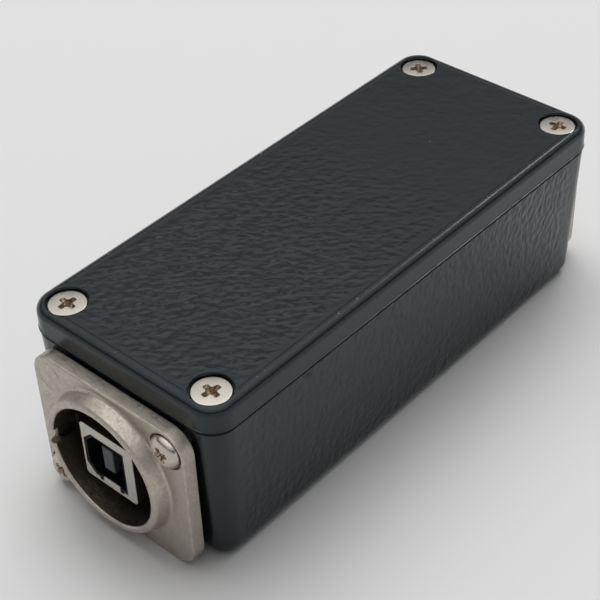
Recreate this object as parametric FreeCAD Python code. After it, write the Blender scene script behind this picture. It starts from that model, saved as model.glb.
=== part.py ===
import FreeCAD, Part
import math
import os

from FreeCAD import Vector

# A small direct injection box.  A diecast aluminium case with a screwed lid holds a USB socket in
# one end, a three-pin male audio connector in the other, and a circuit board between the two.
# Millimetres.  The origin is the middle of the underside, +Z is up, and the case lies along Y with
# its USB end towards -Y.

# ---------------------------------------------------------------- driving dimensions: the case
box_length = 92.5            # along Y, over the lid
box_width = 38.5             # along X, over the lid
lid_height = 4.5             # the band of lid that shows on the sides
lid_plate = 2.2              # thickness of the lid's flat top
lid_rim = 2.35               # thickness of the wall round the lid's underside
lid_lip_depth = 1.2          # how far the locating ribs reach down inside the body
lid_lip_thickness = 1.0
lid_lip_clearance = 0.15     # between a locating rib and the body's wall
lid_corner_radius = 4.2
lid_top_round = 0.8
lid_bottom_round = 0.3
lid_overhang = 0.2           # the lid stands this far proud of the body
body_wall = 2.0
body_floor = 1.8
body_draft = 1.0             # each side leans in by this much from the parting line to the floor
body_corner_radius = 4.0     # at the parting line
body_foot_radius = 3.0       # plan radius of the corners at the underside
body_bottom_round = 2.4
body_top_round = 0.5
post_radius = 3.2            # the corner posts that take the lid screws
lid_boss_radius = 4.0

# ---------------------------------------------------------------- driving dimensions: lid screws
screw_inset_x = 4.6          # from the lid's side in to the screw's axis
screw_inset_y = 4.55         # from the lid's end in to the screw's axis
lid_screw_radius = 1.5
lid_screw_length = 12.0      # over all, head included
lid_screw_clearance = 0.06   # between the shank and its bores, all round
lid_head_radius = 2.9
lid_head_edge = 0.35         # straight edge of the countersunk head
lid_recess_radius = 3.4
lid_recess_depth = 0.9       # from the top of the lid down to the countersink
lid_recess_round = 0.25
countersink_gap = 0.05       # between the head's cone and the lid's, square to the axis
bore_end_gap = 0.8           # below the point of a lid screw
cross_width = 0.85           # the driving recess: one arm's width, span and depth
cross_span = 3.3
cross_depth = 1.3
cross_foot_span = 1.3        # the same at the foot of the recess
cross_foot_width = 0.55
screw_tip_chamfer = 0.4

# ---------------------------------------------------------------- driving dimensions: connectors
flange_width = 31.0
flange_height = 26.0
flange_floor_gap = 0.1       # the flange's lower edge above the underside of the case
flange_lid_gap = 0.4         # from its upper edge to the parting line: this sets the case's height
flange_thickness = 2.1
flange_corner_radius = 3.8
flange_edge_round = 0.6
flange_standoff = 0.6        # from the lid's end face out to the back of the flange
flange_hole_inset = 3.5      # the two screws sit on a diagonal, this far in from the edges
flange_screw_radius = 1.5
flange_screw_length = 4.6    # below the head
flange_screw_clearance = 0.06
flange_head_radius = 2.75
flange_head_height = 1.7
flange_head_round = 1.2
flange_recess_radius = 3.0
flange_recess_depth = 0.7
flange_mark_radius = 2.5     # cast ring in the two corners without a screw
flange_mark_width = 0.25
flange_mark_depth = 0.15
gasket_margin = 0.4          # the gasket stays this far inside the flange's outline
barrel_radius = 11.0
barrel_clearance = 0.15      # between the barrel and the hole in the case
collar_base_radius = 12.05
collar_rim_radius = 11.4
collar_reach = 2.5           # how far the collar stands out from the flange
collar_rim_round = 0.45
usb_bore_radius = 10.2
latch_notch_width = 2.8
latch_notch_depth = 1.6

# ---------------------------------------------------------------- driving dimensions: USB port
port_width = 11.0            # along X
port_height = 10.8           # along Z
port_corner_radius = 0.7
port_setback = 1.6           # from the collar's rim in to the port's face
port_length = 15.5
port_opening_width = 8.6
port_opening_height = 8.3
port_opening_shift_x = -0.7  # the opening sits off the middle of the block
port_opening_shift_z = -0.3
port_opening_chamfer = 1.7
port_key_width = 3.5         # raised key on the opening's lower edge, between two notches
port_key_height = 0.55
port_key_length = 0.8
port_notch_width = 0.8
port_notch_depth = 0.45
insulator_wall = 0.5
insulator_back = 4.0         # solid moulding behind the plug's space
tongue_width = 2.3
tongue_height = 4.6
tongue_setback = 0.6         # behind the port's face
contact_width = 0.8
contact_thickness = 0.2
contact_pitch = 2.2
contact_tip_gap = 1.0        # from the tongue's nose back to the contacts
contact_tail = 0.6           # behind the insulator
carrier_grip = 0.3           # how far the carrier reaches forward over the back of the port
carrier_clearance = 0.05
carrier_end_gap = 0.8        # from the carrier's back face to the barrel's end
rear_port_width = 5.7        # along X: the rear port stands upright
rear_port_height = 13.1
rear_port_wall = 0.35
rear_port_depth = 9.6
rear_port_gap = 1.4          # from the ends of the front contacts to the rear port
rear_port_overhang = 0.9     # behind the carrier
rear_tongue_width = 1.8
rear_tongue_height = 11.0
rear_tongue_setback = 1.5

# ---------------------------------------------------------------- driving dimensions: output cup
output_barrel_length = 12.5  # behind the flange
output_bore_radius = 9.8
output_floor_thickness = 2.0
output_insert_thickness = 5.0
output_insert_clearance = 0.05
pin_circle_radius = 4.95
pin_radius = 1.2
pin_reach = 11.0             # in front of the insert
pin_cup_length = 5.0         # solder cup behind the insert
pin_cup_radius = 1.45
pin_cup_bore = 0.95
pin_cup_bore_depth = 3.4
pin_nose_round = 0.95
pin_cup_lip = 1.1            # the closed ring at the mouth of a cup
solder_length = 2.4          # the fillet of solder in a cup, round its wire
solder_end_gap = 0.6         # from the solder's end to the mouth of the cup
output_key_width = 2.0
output_key_depth = 0.7

# ---------------------------------------------------------------- driving dimensions: the board
board_side_gap = 1.05        # to the case's wall, where the wall leans in the most
board_length = 32.0
board_thickness = 1.6
board_setback = 39.35        # from the back of the front flange to the board's near edge
board_gap = 2.4              # under the board, the height of its spacers
spacer_radius = 2.9
spacer_pin_radius = 1.4
spacer_pin_clearance = 0.05
spacer_inset_x = 1.8
spacer_inset_y = 1.8
spacer_pin_length = 2.4      # through the board and a little above it
transformer_width = 10.0
transformer_length = 12.5
transformer_height = 9.5
transformer_side_inset = 0.8  # from the board's left edge to the transformer's side
transformer_end_inset = 4.05 # from the board's near edge to the transformer's end
core_end = 3.0               # the laminations that show at each end of the winding
core_leg = 3.2
core_yoke = 2.375             # from the transformer's top and bottom to its middle leg
winding_margin = 0.6         # the winding stands inside its bobbin's cheeks
cheek_thickness = 0.7
lamination_foot = 0.8        # the core sits this far above the board, on the bobbin
chip_width = 5.3
chip_length = 10.2
chip_height = 1.75
chip_standoff = 0.15
chip_film_gap = 1.7          # from the film capacitors to the chip's leads
chip_side_inset = 3.25       # from the chip's leads to the board's right edge
chip_end_inset = 3.4
chip_leads = 14              # on each side
chip_lead_pitch = 0.65
chip_lead_width = 0.3
chip_lead_reach = 1.1
chip_lead_thickness = 0.2
crystal_width = 3.2
crystal_length = 5.0
crystal_height = 1.2
crystal_side_inset = 0.8
crystal_end_inset = 15.5
can_radius = 2.0             # three small electrolytic capacitors in a row
can_height = 7.0
can_side_inset = 2.25        # from the board's left edge to the cans' sides
can_end_inset = 17.1         # from the board's near edge to the first can's side
can_pitch = 4.3
can_count = 3
can_top_round = 0.25
film_width = 2.5             # two boxed film capacitors side by side
film_length = 7.2
film_height = 5.2
film_end_inset = 3.0
film_gap = 0.75              # beside the transformer
film_pitch = 3.5
film_count = 2
resistor_length = 3.2
resistor_width = 1.6
resistor_height = 0.6
resistor_gap = 1.1           # beside the output header
resistor_end_inset = 19.1
resistor_pitch = 2.3
resistor_count = 5
output_header_width = 7.6
output_header_length = 3.5
output_header_height = 3.6
output_header_gap = 0.15     # beside the cans
output_header_end_inset = 17.75
output_header_pitch = 2.5
output_header_wire_height = 1.9   # above the board
lead_header_width = 8.0
lead_header_length = 5.6
lead_header_height = 6.0
lead_header_gap = 0.2        # beside the resistors
lead_header_side_inset = 3.5  # to the board's right edge
lead_header_end_inset = 24.9

# ---------------------------------------------------------------- driving dimensions: inner lead
plug_shell_width = 4.5
plug_shell_height = 12.0
plug_shell_wall = 0.3
plug_inserted = 8.6          # how deep the plug sits in the rear port
plug_shell_showing = 1.2     # between the port and the grip
plug_block_width = 1.9       # the moulding inside the plug's shell
grip_width = 7.6
grip_height = 14.2
grip_length = 11.0
grip_corner_radius = 2.2
relief_length = 4.0
relief_start_radius = 3.0
relief_end_radius = 1.7
lead_radius = 1.1
wire_radius = 0.5
bend_share = 0.45            # how much of the shorter run beside a corner its arc takes

# ---------------------------------------------------------------- worked out from the above
ORIGIN = Vector(0, 0, 0)
X_AXIS = Vector(1, 0, 0)
Y_AXIS = Vector(0, 1, 0)
Z_AXIS = Vector(0, 0, 1)

axis_z = flange_floor_gap + flange_height / 2
parting_z = flange_floor_gap + flange_height + flange_lid_gap
box_height = parting_z + lid_height
flange_hole_x = flange_width / 2 - flange_hole_inset
flange_hole_z = flange_height / 2 - flange_hole_inset
lid_half_x = box_width / 2
lid_half_y = box_length / 2
body_half_x = lid_half_x - lid_overhang
body_half_y = lid_half_y - lid_overhang
foot_half_x = body_half_x - body_draft
foot_half_y = body_half_y - body_draft
post_x = lid_half_x - screw_inset_x
post_y = lid_half_y - screw_inset_y
recess_floor_z = box_height - lid_recess_depth
head_cone_depth = lid_head_radius - lid_screw_radius        # a 90 degree countersink
head_top_z = recess_floor_z + lid_head_edge
screw_tip_z = head_top_z - lid_screw_length
flange_back_y = -(lid_half_y + flange_standoff)
flange_front_y = flange_back_y - flange_thickness
collar_rim_y = flange_front_y - collar_reach
board_width = 2 * (foot_half_x - body_wall - board_side_gap)
board_low_y = flange_back_y + board_setback
board_low_z = body_floor + board_gap
board_top_z = board_low_z + board_thickness
board_high_y = board_low_y + board_length
board_left_x = -board_width / 2
board_right_x = board_width / 2


def shared_out(gaps, widths):
    """The gaps along a row across the board, stretched or squeezed alike to fill the board."""
    room = board_width - sum(widths)
    return [gap * room / sum(gaps) for gap in gaps]


# the near row: transformer, film capacitors, chip
films_width = film_width + (film_count - 1) * film_pitch
chip_span = chip_width + 2 * chip_lead_reach
near_row = shared_out(
    (transformer_side_inset, film_gap, chip_film_gap, chip_side_inset),
    (transformer_width, films_width, chip_span),
)
transformer_x = board_left_x + near_row[0] + transformer_width / 2
transformer_y = board_low_y + transformer_end_inset + transformer_length / 2
chip_x = board_right_x - near_row[3] - chip_span / 2
chip_y = board_low_y + chip_end_inset + chip_length / 2
crystal_x = board_right_x - crystal_side_inset - crystal_width / 2
crystal_y = board_low_y + crystal_end_inset + crystal_length / 2
# the far row: cans, output header, resistors, lead header
far_row = shared_out(
    (can_side_inset, output_header_gap, resistor_gap, lead_header_gap, lead_header_side_inset),
    (2 * can_radius, output_header_width, resistor_length, lead_header_width),
)
can_x = board_left_x + far_row[0] + can_radius
can_first_y = board_low_y + can_end_inset + can_radius
film_first_x = transformer_x + transformer_width / 2 + near_row[1] + film_width / 2
film_y = board_low_y + film_end_inset + film_length / 2
output_header_x = can_x + can_radius + far_row[1] + output_header_width / 2
output_header_y = board_low_y + output_header_end_inset + output_header_length / 2
resistor_x = output_header_x + output_header_width / 2 + far_row[2] + resistor_length / 2
resistor_first_y = board_low_y + resistor_end_inset + resistor_width / 2
lead_header_x = board_right_x - far_row[4] - lead_header_width / 2
lead_header_low_y = board_low_y + lead_header_end_inset


# ---------------------------------------------------------------- shared shapes
def rounded_outline(half_x, half_y, radius, z):
    """A rectangle with round corners, flat at height z."""
    flat_x = half_x - radius
    flat_y = half_y - radius
    bulge = radius * math.sqrt(0.5)
    edges = []
    for sign_x, sign_y in ((1, 1), (-1, 1), (-1, -1), (1, -1)):
        centre = Vector(sign_x * flat_x, sign_y * flat_y, z)
        side = centre + Vector(sign_x * radius, 0, 0)
        middle = centre + Vector(sign_x * bulge, sign_y * bulge, 0)
        end = centre + Vector(0, sign_y * radius, 0)
        if sign_x * sign_y > 0:
            points = (side, middle, end)
        else:
            points = (end, middle, side)
        edges.append(Part.Arc(*points).toShape())
    joined = []
    for index, arc in enumerate(edges):
        following = edges[(index + 1) % len(edges)]
        start = arc.Vertexes[-1].Point
        stop = following.Vertexes[0].Point
        joined.append(arc)
        joined.append(Part.LineSegment(start, stop).toShape())
    return Part.Wire(joined)


def slab(half_x, half_y, radius, z_low, z_high):
    """A flat block with round upright corners."""
    outline = rounded_outline(half_x, half_y, radius, z_low)
    return Part.Face(outline).extrude(Vector(0, 0, z_high - z_low))


def plate(half_x, half_z, radius, y_low, y_high, x=0.0, z=axis_z):
    """A block with round corners whose faces look along Y."""
    block = slab(half_x, half_z, radius, 0.0, y_high - y_low)
    block.rotate(ORIGIN, X_AXIS, 90)
    block.translate(Vector(x, y_high, z))
    return block


def brick(x_low, x_high, y_low, y_high, z_low, z_high):
    """A plain block between two corners."""
    size = (x_high - x_low, y_high - y_low, z_high - z_low)
    return Part.makeBox(*size, Vector(x_low, y_low, z_low))


def upright(radius, z_low, z_high, x=0.0, y=0.0):
    return Part.makeCylinder(radius, z_high - z_low, Vector(x, y, z_low), Z_AXIS)


def lying(radius, y_low, y_high, x=0.0, z=axis_z):
    return Part.makeCylinder(radius, y_high - y_low, Vector(x, y_low, z), Y_AXIS)


def lying_cone(radius_low, radius_high, y_low, y_high, x=0.0, z=axis_z):
    start = Vector(x, y_low, z)
    return Part.makeCone(radius_low, radius_high, y_high - y_low, start, Y_AXIS)


def flat_edges(shape, axis, value):
    """The edges of a shape that lie in the plane where one coordinate has this value."""
    found = []
    for edge in shape.Edges:
        box = edge.BoundBox
        low = getattr(box, axis + "Min")
        high = getattr(box, axis + "Max")
        if abs(low - value) < 1e-4 and abs(high - value) < 1e-4:
            found.append(edge)
    return found


def cross_recess(x, y, top_z):
    """The cross that a screwdriver fits, pointing down from top_z, narrower at its foot."""
    arms = []
    for turn in (0, 90):
        top = Part.makePolygon(cross_arm(cross_span / 2, cross_width / 2, top_z))
        foot = Part.makePolygon(cross_arm(cross_foot_span / 2, cross_foot_width / 2, top_z - cross_depth))
        arm = Part.makeLoft([top, foot], True, True)
        arm.rotate(ORIGIN, Z_AXIS, turn)
        arms.append(arm)
    recess = arms[0].fuse(arms[1])
    recess.translate(Vector(x, y, 0))
    return recess


def cross_arm(half_span, half_width, z):
    corners = ((1, 1), (-1, 1), (-1, -1), (1, -1), (1, 1))
    return [Vector(sx * half_span, sy * half_width, z) for sx, sy in corners]


def turned_about(shape):
    """The same shape at the other end of the case."""
    turned = shape.copy()
    turned.rotate(ORIGIN, Z_AXIS, 180)
    return turned


def diagonal_places():
    """Where the two screws of the front connector go, as x and z."""
    return (
        (flange_hole_x, axis_z + flange_hole_z),
        (-flange_hole_x, axis_z - flange_hole_z),
    )


def post_places():
    return ((post_x, -post_y), (-post_x, -post_y), (-post_x, post_y), (post_x, post_y))


def tube_along(points, radius, name):
    """A round cord along straight runs joined by tangent arcs, as wide as the runs allow."""
    points = [Vector(*p) for p in points]
    runs = [b - a for a, b in zip(points, points[1:])]
    edges = []
    start = points[0]
    for index in range(1, len(points) - 1):
        before = runs[index - 1]
        after = runs[index]
        half_turn = before.getAngle(after) / 2
        shorter = min(before.Length, after.Length)
        set_back = bend_share * shorter
        bend = set_back / math.tan(half_turn)
        corner = points[index]
        into = Vector(before).normalize()
        out_of = Vector(after).normalize()
        arc_start = corner - into * set_back
        arc_end = corner + out_of * set_back
        inward = (out_of - into).normalize()
        centre = corner + inward * (bend / math.cos(half_turn))
        arc_middle = centre - inward * bend
        edges.append(Part.LineSegment(start, arc_start).toShape())
        edges.append(Part.Arc(arc_start, arc_middle, arc_end).toShape())
        start = arc_end
        print(f"{name}: bend radius {bend:.1f}")
    edges.append(Part.LineSegment(start, points[-1]).toShape())
    path = Part.Wire(edges)
    section = Part.Wire(Part.makeCircle(radius, points[0], runs[0]))
    tube = path.makePipeShell([section], True, False)
    expected = math.pi * radius ** 2 * path.Length
    print(f"{name}: length {path.Length:.1f}, volume {tube.Volume:.1f} of {expected:.1f}")
    return tube


# ---------------------------------------------------------------- the case
def body_outside():
    """The drafted outer form of the body, with its round bottom edge."""
    foot = rounded_outline(foot_half_x, foot_half_y, body_foot_radius, 0.0)
    top = rounded_outline(body_half_x, body_half_y, body_corner_radius, parting_z)
    block = Part.makeLoft([foot, top], True, True)
    block = block.makeFillet(body_bottom_round, flat_edges(block, "Z", 0.0))
    return block.makeFillet(body_top_round, flat_edges(block, "Z", parting_z))


def body_inside():
    """The hollow: the outer form brought in by the wall, from the floor up."""
    lean = body_draft * (parting_z - body_floor) / parting_z
    floor_x = body_half_x - lean - body_wall
    floor_y = body_half_y - lean - body_wall
    foot_inner = max(body_foot_radius - body_wall, 0.4)
    top_inner = max(body_corner_radius - body_wall, 0.4)
    floor = rounded_outline(floor_x, floor_y, foot_inner, body_floor)
    mouth_x = body_half_x - body_wall
    mouth_y = body_half_y - body_wall
    mouth = rounded_outline(mouth_x, mouth_y, top_inner, parting_z)
    return Part.makeLoft([floor, mouth], True, True)


def enclosure_body():
    outside = body_outside()
    body = outside.cut(body_inside())
    root_z = body_floor / 2          # the posts and webs grow out of the floor
    for x, y in post_places():
        post = upright(post_radius, root_z, parting_z, x, y)
        edge_x = math.copysign(lid_half_x, x)
        edge_y = math.copysign(lid_half_y, y)
        low_x, high_x = sorted((x, edge_x))
        low_y, high_y = sorted((y, edge_y))
        web = brick(low_x, high_x, low_y, high_y, root_z, parting_z)
        body = body.fuse(post.fuse(web).common(outside))
    bore_radius = lid_screw_radius + lid_screw_clearance
    for x, y in post_places():
        body = body.cut(upright(bore_radius, screw_tip_z - bore_end_gap, parting_z + 1, x, y))
    for cut in (front_panel_cuts(), turned_about(front_panel_cuts())):
        body = body.cut(cut)
    return body.removeSplitter()


def front_panel_cuts():
    """The room for a connector's barrel and the two blind screw holes beside it."""
    outer_y = flange_back_y
    cut = lying(barrel_radius + barrel_clearance, outer_y, usb_barrel_end_y)
    screw_end_y = flange_front_y + flange_recess_depth + flange_screw_length
    for x, z in diagonal_places():
        hole = flange_screw_radius + flange_screw_clearance
        cut = cut.fuse(lying(hole, outer_y, screw_end_y + barrel_clearance, x, z))
    return cut


def enclosure_lid():
    lid = slab(lid_half_x, lid_half_y, lid_corner_radius, parting_z, box_height)
    lid = lid.makeFillet(lid_top_round, flat_edges(lid, "Z", box_height))
    lid = lid.makeFillet(lid_bottom_round, flat_edges(lid, "Z", parting_z))
    pocket_x = lid_half_x - lid_rim - lid_lip_thickness
    pocket_y = lid_half_y - lid_rim - lid_lip_thickness
    under = box_height - lid_plate
    pocket = slab(pocket_x, pocket_y, lid_lip_thickness, parting_z, under)
    for x, y in post_places():
        pocket = pocket.cut(upright(lid_boss_radius, parting_z, under, x, y))
    lid = lid.cut(pocket)
    lip_x = body_half_x - body_wall - lid_lip_clearance
    lip_y = body_half_y - body_wall - lid_lip_clearance
    long_half = post_y - post_radius - 2 * lid_lip_thickness
    short_half = post_x - post_radius - 2 * lid_lip_thickness
    lip_low = parting_z - lid_lip_depth
    for side in (-1, 1):
        x_low, x_high = sorted((side * (lip_x - lid_lip_thickness), side * lip_x))
        y_low, y_high = sorted((side * (lip_y - lid_lip_thickness), side * lip_y))
        lid = lid.fuse(brick(x_low, x_high, -long_half, long_half, lip_low, under))
        lid = lid.fuse(brick(-short_half, short_half, y_low, y_high, lip_low, under))
    for x, y in post_places():
        lid = lid.cut(lid_screw_hole(x, y))
    return lid.removeSplitter()


def lid_screw_hole(x, y):
    bore_radius = lid_screw_radius + lid_screw_clearance
    bore = upright(bore_radius, parting_z - 1, box_height, x, y)
    wide = lid_head_radius + countersink_gap
    depth = wide - bore_radius
    cone_low = Vector(x, y, recess_floor_z - depth)
    cone = Part.makeCone(bore_radius, wide, depth, cone_low, Z_AXIS)
    recess = upright(lid_recess_radius, recess_floor_z, box_height, x, y)
    mouth_radius = lid_recess_radius + lid_recess_round
    mouth_low = Vector(x, y, box_height - lid_recess_round)
    mouth = Part.makeCone(lid_recess_radius, mouth_radius, lid_recess_round, mouth_low, Z_AXIS)
    return bore.fuse(cone).fuse(recess).fuse(mouth)


def lid_screw(x, y):
    """A countersunk machine screw, head up."""
    edge = upright(lid_head_radius, recess_floor_z, head_top_z, x, y)
    cone_low = Vector(x, y, recess_floor_z - head_cone_depth)
    cone = Part.makeCone(lid_screw_radius, lid_head_radius, head_cone_depth, cone_low, Z_AXIS)
    shank = upright(lid_screw_radius, screw_tip_z, recess_floor_z - head_cone_depth, x, y)
    screw = edge.fuse(cone).fuse(shank)
    tip = flat_edges(screw, "Z", screw_tip_z)
    screw = screw.removeSplitter().makeChamfer(screw_tip_chamfer, tip)
    return screw.cut(cross_recess(x, y, head_top_z))


# ---------------------------------------------------------------- connector housings
def connector_flange():
    """The rectangular plate of a panel connector, with its screw seats, facing -Y."""
    flange = plate(
        flange_width / 2, flange_height / 2, flange_corner_radius, flange_front_y, flange_back_y
    )
    flange = flange.makeFillet(flange_edge_round, flat_edges(flange, "Y", flange_front_y))
    recess_y = flange_front_y + flange_recess_depth
    for x, z in diagonal_places():
        hole = flange_screw_radius + flange_screw_clearance
        flange = flange.cut(lying(hole, flange_front_y, flange_back_y, x, z))
        flange = flange.cut(lying(flange_recess_radius, flange_front_y, recess_y, x, z))
        # the opposite corner carries only a cast ring
        mark_y = flange_front_y + flange_mark_depth
        ring = lying(flange_mark_radius, flange_front_y, mark_y, -x, z)
        core = lying(flange_mark_radius - flange_mark_width, flange_front_y, mark_y, -x, z)
        flange = flange.cut(ring.cut(core))
    return flange


def collar():
    """The round collar that stands out from a flange, tapering to a thin round rim."""
    cone = lying_cone(collar_rim_radius, collar_base_radius, collar_rim_y, flange_front_y)
    return cone.makeFillet(collar_rim_round, flat_edges(cone, "Y", collar_rim_y))


def usb_housing():
    housing = connector_flange().fuse(collar())
    housing = housing.fuse(lying(barrel_radius, flange_back_y, usb_barrel_end_y))
    housing = housing.cut(lying(usb_bore_radius, collar_rim_y, usb_barrel_end_y))
    half_notch = latch_notch_width / 2
    notch = brick(
        -collar_base_radius, -usb_bore_radius / 2,
        collar_rim_y, collar_rim_y + latch_notch_depth,
        axis_z - half_notch, axis_z + half_notch,
    )
    return housing.cut(notch).removeSplitter()


def output_housing():
    """A cup with a floor; three pins stand inside it."""
    housing = connector_flange().fuse(collar())
    barrel_end = flange_back_y + output_barrel_length
    floor_front = barrel_end - output_floor_thickness
    housing = housing.fuse(lying(barrel_radius, flange_back_y, barrel_end))
    housing = housing.cut(lying(output_bore_radius, collar_rim_y, floor_front))
    insert_radius = output_bore_radius - output_floor_thickness
    housing = housing.cut(lying(insert_radius, floor_front, barrel_end))
    half_key = output_key_width / 2
    key = brick(
        output_bore_radius - output_key_depth, output_bore_radius + output_key_depth / 2,
        flange_front_y, floor_front,
        axis_z - half_key, axis_z + half_key,
    )
    housing = housing.fuse(key)
    half_notch = latch_notch_width / 2
    notch = brick(
        -collar_base_radius, -output_bore_radius / 2,
        collar_rim_y, collar_rim_y + latch_notch_depth,
        axis_z - half_notch, axis_z + half_notch,
    )
    return turned_about(housing.cut(notch).removeSplitter())


def panel_gasket():
    """A soft black gasket squeezed between the upright flange and the leaning end wall."""
    half_x = flange_width / 2 - gasket_margin
    half_z = flange_height / 2 - gasket_margin
    radius = flange_corner_radius - gasket_margin
    inner_y = -(body_half_y - body_draft)
    gasket = plate(half_x, half_z, radius, flange_back_y, inner_y)
    gasket = gasket.cut(lying(barrel_radius + barrel_clearance, flange_back_y, inner_y))
    for x, z in diagonal_places():
        hole = flange_screw_radius + flange_screw_clearance
        gasket = gasket.cut(lying(hole, flange_back_y, inner_y, x, z))
    return gasket.cut(body_outside())


def flange_screw(x, z):
    """A pan-head screw that goes in along +Y."""
    seat_y = flange_front_y + flange_recess_depth
    top_y = seat_y - flange_head_height
    head = lying(flange_head_radius, top_y, seat_y, x, z)
    head = head.makeFillet(flange_head_round, flat_edges(head, "Y", top_y))
    shank = lying(flange_screw_radius, seat_y, seat_y + flange_screw_length, x, z)
    recess = cross_recess(0, 0, 0)
    recess.rotate(ORIGIN, X_AXIS, 90)        # its mouth now looks along -Y
    recess.translate(Vector(x, top_y, z))
    return head.fuse(shank).removeSplitter().cut(recess)


def flange_screws():
    return [flange_screw(x, z) for x, z in diagonal_places()]


# ---------------------------------------------------------------- the USB port in its housing
port_face_y = collar_rim_y + port_setback
port_back_y = port_face_y + port_length
opening_left = port_opening_shift_x - port_opening_width / 2
opening_right = port_opening_shift_x + port_opening_width / 2
opening_low = axis_z + port_opening_shift_z - port_opening_height / 2
opening_high = axis_z + port_opening_shift_z + port_opening_height / 2
opening_middle_z = (opening_low + opening_high) / 2
opening_middle_x = (opening_left + opening_right) / 2
plug_space_back_y = port_back_y - insulator_back
carrier_front_y = port_back_y - carrier_grip
rear_port_front_y = port_back_y + contact_tail + rear_port_gap
rear_port_back_y = rear_port_front_y + rear_port_depth
carrier_back_y = rear_port_back_y - rear_port_overhang
usb_barrel_end_y = carrier_back_y + carrier_end_gap


def opening_prism(margin, y_low, y_high):
    """The five-cornered plug space, grown inwards by a margin; its cut corners look to -X."""
    left = opening_left + margin
    right = opening_right - margin
    low = opening_low + margin
    high = opening_high - margin
    cut = port_opening_chamfer
    outline = [
        (right, low), (right, high), (left + cut, high),
        (left, high - cut), (left, low + cut), (left + cut, low), (right, low),
    ]
    wire = Part.makePolygon([Vector(x, y_low, z) for x, z in outline])
    return Part.Face(wire).extrude(Vector(0, y_high - y_low, 0))


def usb_port_shell():
    shell = plate(
        port_width / 2, port_height / 2, port_corner_radius, port_face_y, port_back_y
    )
    shell = shell.cut(opening_prism(0, port_face_y, port_back_y))
    key_low = opening_middle_x - port_key_width / 2 + port_notch_width
    key_high = key_low + port_key_width
    key = brick(
        key_low, key_high, port_face_y, port_face_y + port_key_length,
        opening_low - port_notch_depth / 2, opening_low + port_key_height,
    )
    shell = shell.fuse(key)
    for notch_low in (key_low - port_notch_width, key_high):
        notch = brick(
            notch_low, notch_low + port_notch_width, port_face_y, port_face_y + port_key_length,
            opening_low - port_notch_depth, opening_low,
        )
        shell = shell.cut(notch)
    return shell.removeSplitter()


def usb_port_insulator():
    front_y = port_face_y + port_key_length
    block = opening_prism(0, front_y, port_back_y)
    block = block.cut(opening_prism(insulator_wall, front_y, plug_space_back_y))
    tongue = brick(
        opening_middle_x - tongue_width / 2, opening_middle_x + tongue_width / 2,
        port_face_y + tongue_setback, plug_space_back_y,
        opening_middle_z - tongue_height / 2, opening_middle_z + tongue_height / 2,
    )
    block = block.fuse(tongue)
    for contact in contact_strips():
        block = block.cut(contact)
    return block.removeSplitter()


def contact_strips():
    """Four contacts, two let into each broad side of the tongue."""
    strips = []
    for side in (-1, 1):
        face_x = opening_middle_x + side * tongue_width / 2
        x_low, x_high = sorted((face_x, face_x - side * contact_thickness))
        for row in (-0.5, 0.5):
            middle = opening_middle_z + row * contact_pitch
            strips.append(brick(
                x_low, x_high,
                port_face_y + tongue_setback + contact_tip_gap, port_back_y + contact_tail,
                middle - contact_width / 2, middle + contact_width / 2,
            ))
    return strips


def usb_insert_carrier():
    """The black moulding that fills the barrel and holds the front and the rear port."""
    carrier = lying(usb_bore_radius - carrier_clearance, carrier_front_y, carrier_back_y)
    pocket = plate(
        port_width / 2 + carrier_clearance, port_height / 2 + carrier_clearance,
        port_corner_radius, carrier_front_y, port_back_y + contact_tail + carrier_clearance,
    )
    carrier = carrier.cut(pocket)
    rear = plate(
        rear_port_width / 2 + carrier_clearance, rear_port_height / 2 + carrier_clearance,
        rear_port_wall, rear_port_front_y, carrier_back_y,
    )
    return carrier.cut(rear).removeSplitter()


def usb_rear_port_shell():
    outer = plate(
        rear_port_width / 2, rear_port_height / 2, rear_port_wall,
        rear_port_front_y, rear_port_back_y,
    )
    inner = brick(
        -rear_port_width / 2 + rear_port_wall, rear_port_width / 2 - rear_port_wall,
        rear_port_front_y + rear_port_wall, rear_port_back_y,
        axis_z - rear_port_height / 2 + rear_port_wall,
        axis_z + rear_port_height / 2 - rear_port_wall,
    )
    return outer.cut(inner)


def usb_rear_port_tongue():
    """The rear port's contact tongue, beside the plug's own moulding."""
    side = plug_block_width / 2
    return brick(
        -rear_tongue_width / 2 + side, rear_tongue_width / 2 + side,
        rear_port_front_y + rear_port_wall, rear_port_back_y - rear_tongue_setback,
        axis_z - rear_tongue_height / 2, axis_z + rear_tongue_height / 2,
    )


# ---------------------------------------------------------------- the three-pin output
output_insert_back_y = flange_back_y + output_barrel_length
output_insert_front_y = output_insert_back_y - output_insert_thickness


def pin_places():
    """Three pins a quarter turn apart, as x and z in the front connector's frame."""
    r = pin_circle_radius
    return ((0.0, axis_z + r), (r, axis_z), (0.0, axis_z - r))


def output_insert():
    """The black disc that carries the pins; a smaller spigot goes through the cup's floor."""
    floor_front = output_insert_back_y - output_floor_thickness
    wide = output_bore_radius - output_insert_clearance
    narrow = output_bore_radius - output_floor_thickness - output_insert_clearance
    disc = lying(wide, output_insert_front_y, floor_front)
    disc = disc.fuse(lying(narrow, floor_front, output_insert_back_y))
    half_key = output_key_width / 2 + output_insert_clearance
    key_space = brick(
        output_bore_radius - output_key_depth - output_insert_clearance, output_bore_radius,
        output_insert_front_y, floor_front,
        axis_z - half_key, axis_z + half_key,
    )
    disc = disc.cut(key_space)
    for x, z in pin_places():
        disc = disc.cut(lying(pin_radius, output_insert_front_y, output_insert_back_y, x, z))
    return turned_about(disc.removeSplitter())


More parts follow.
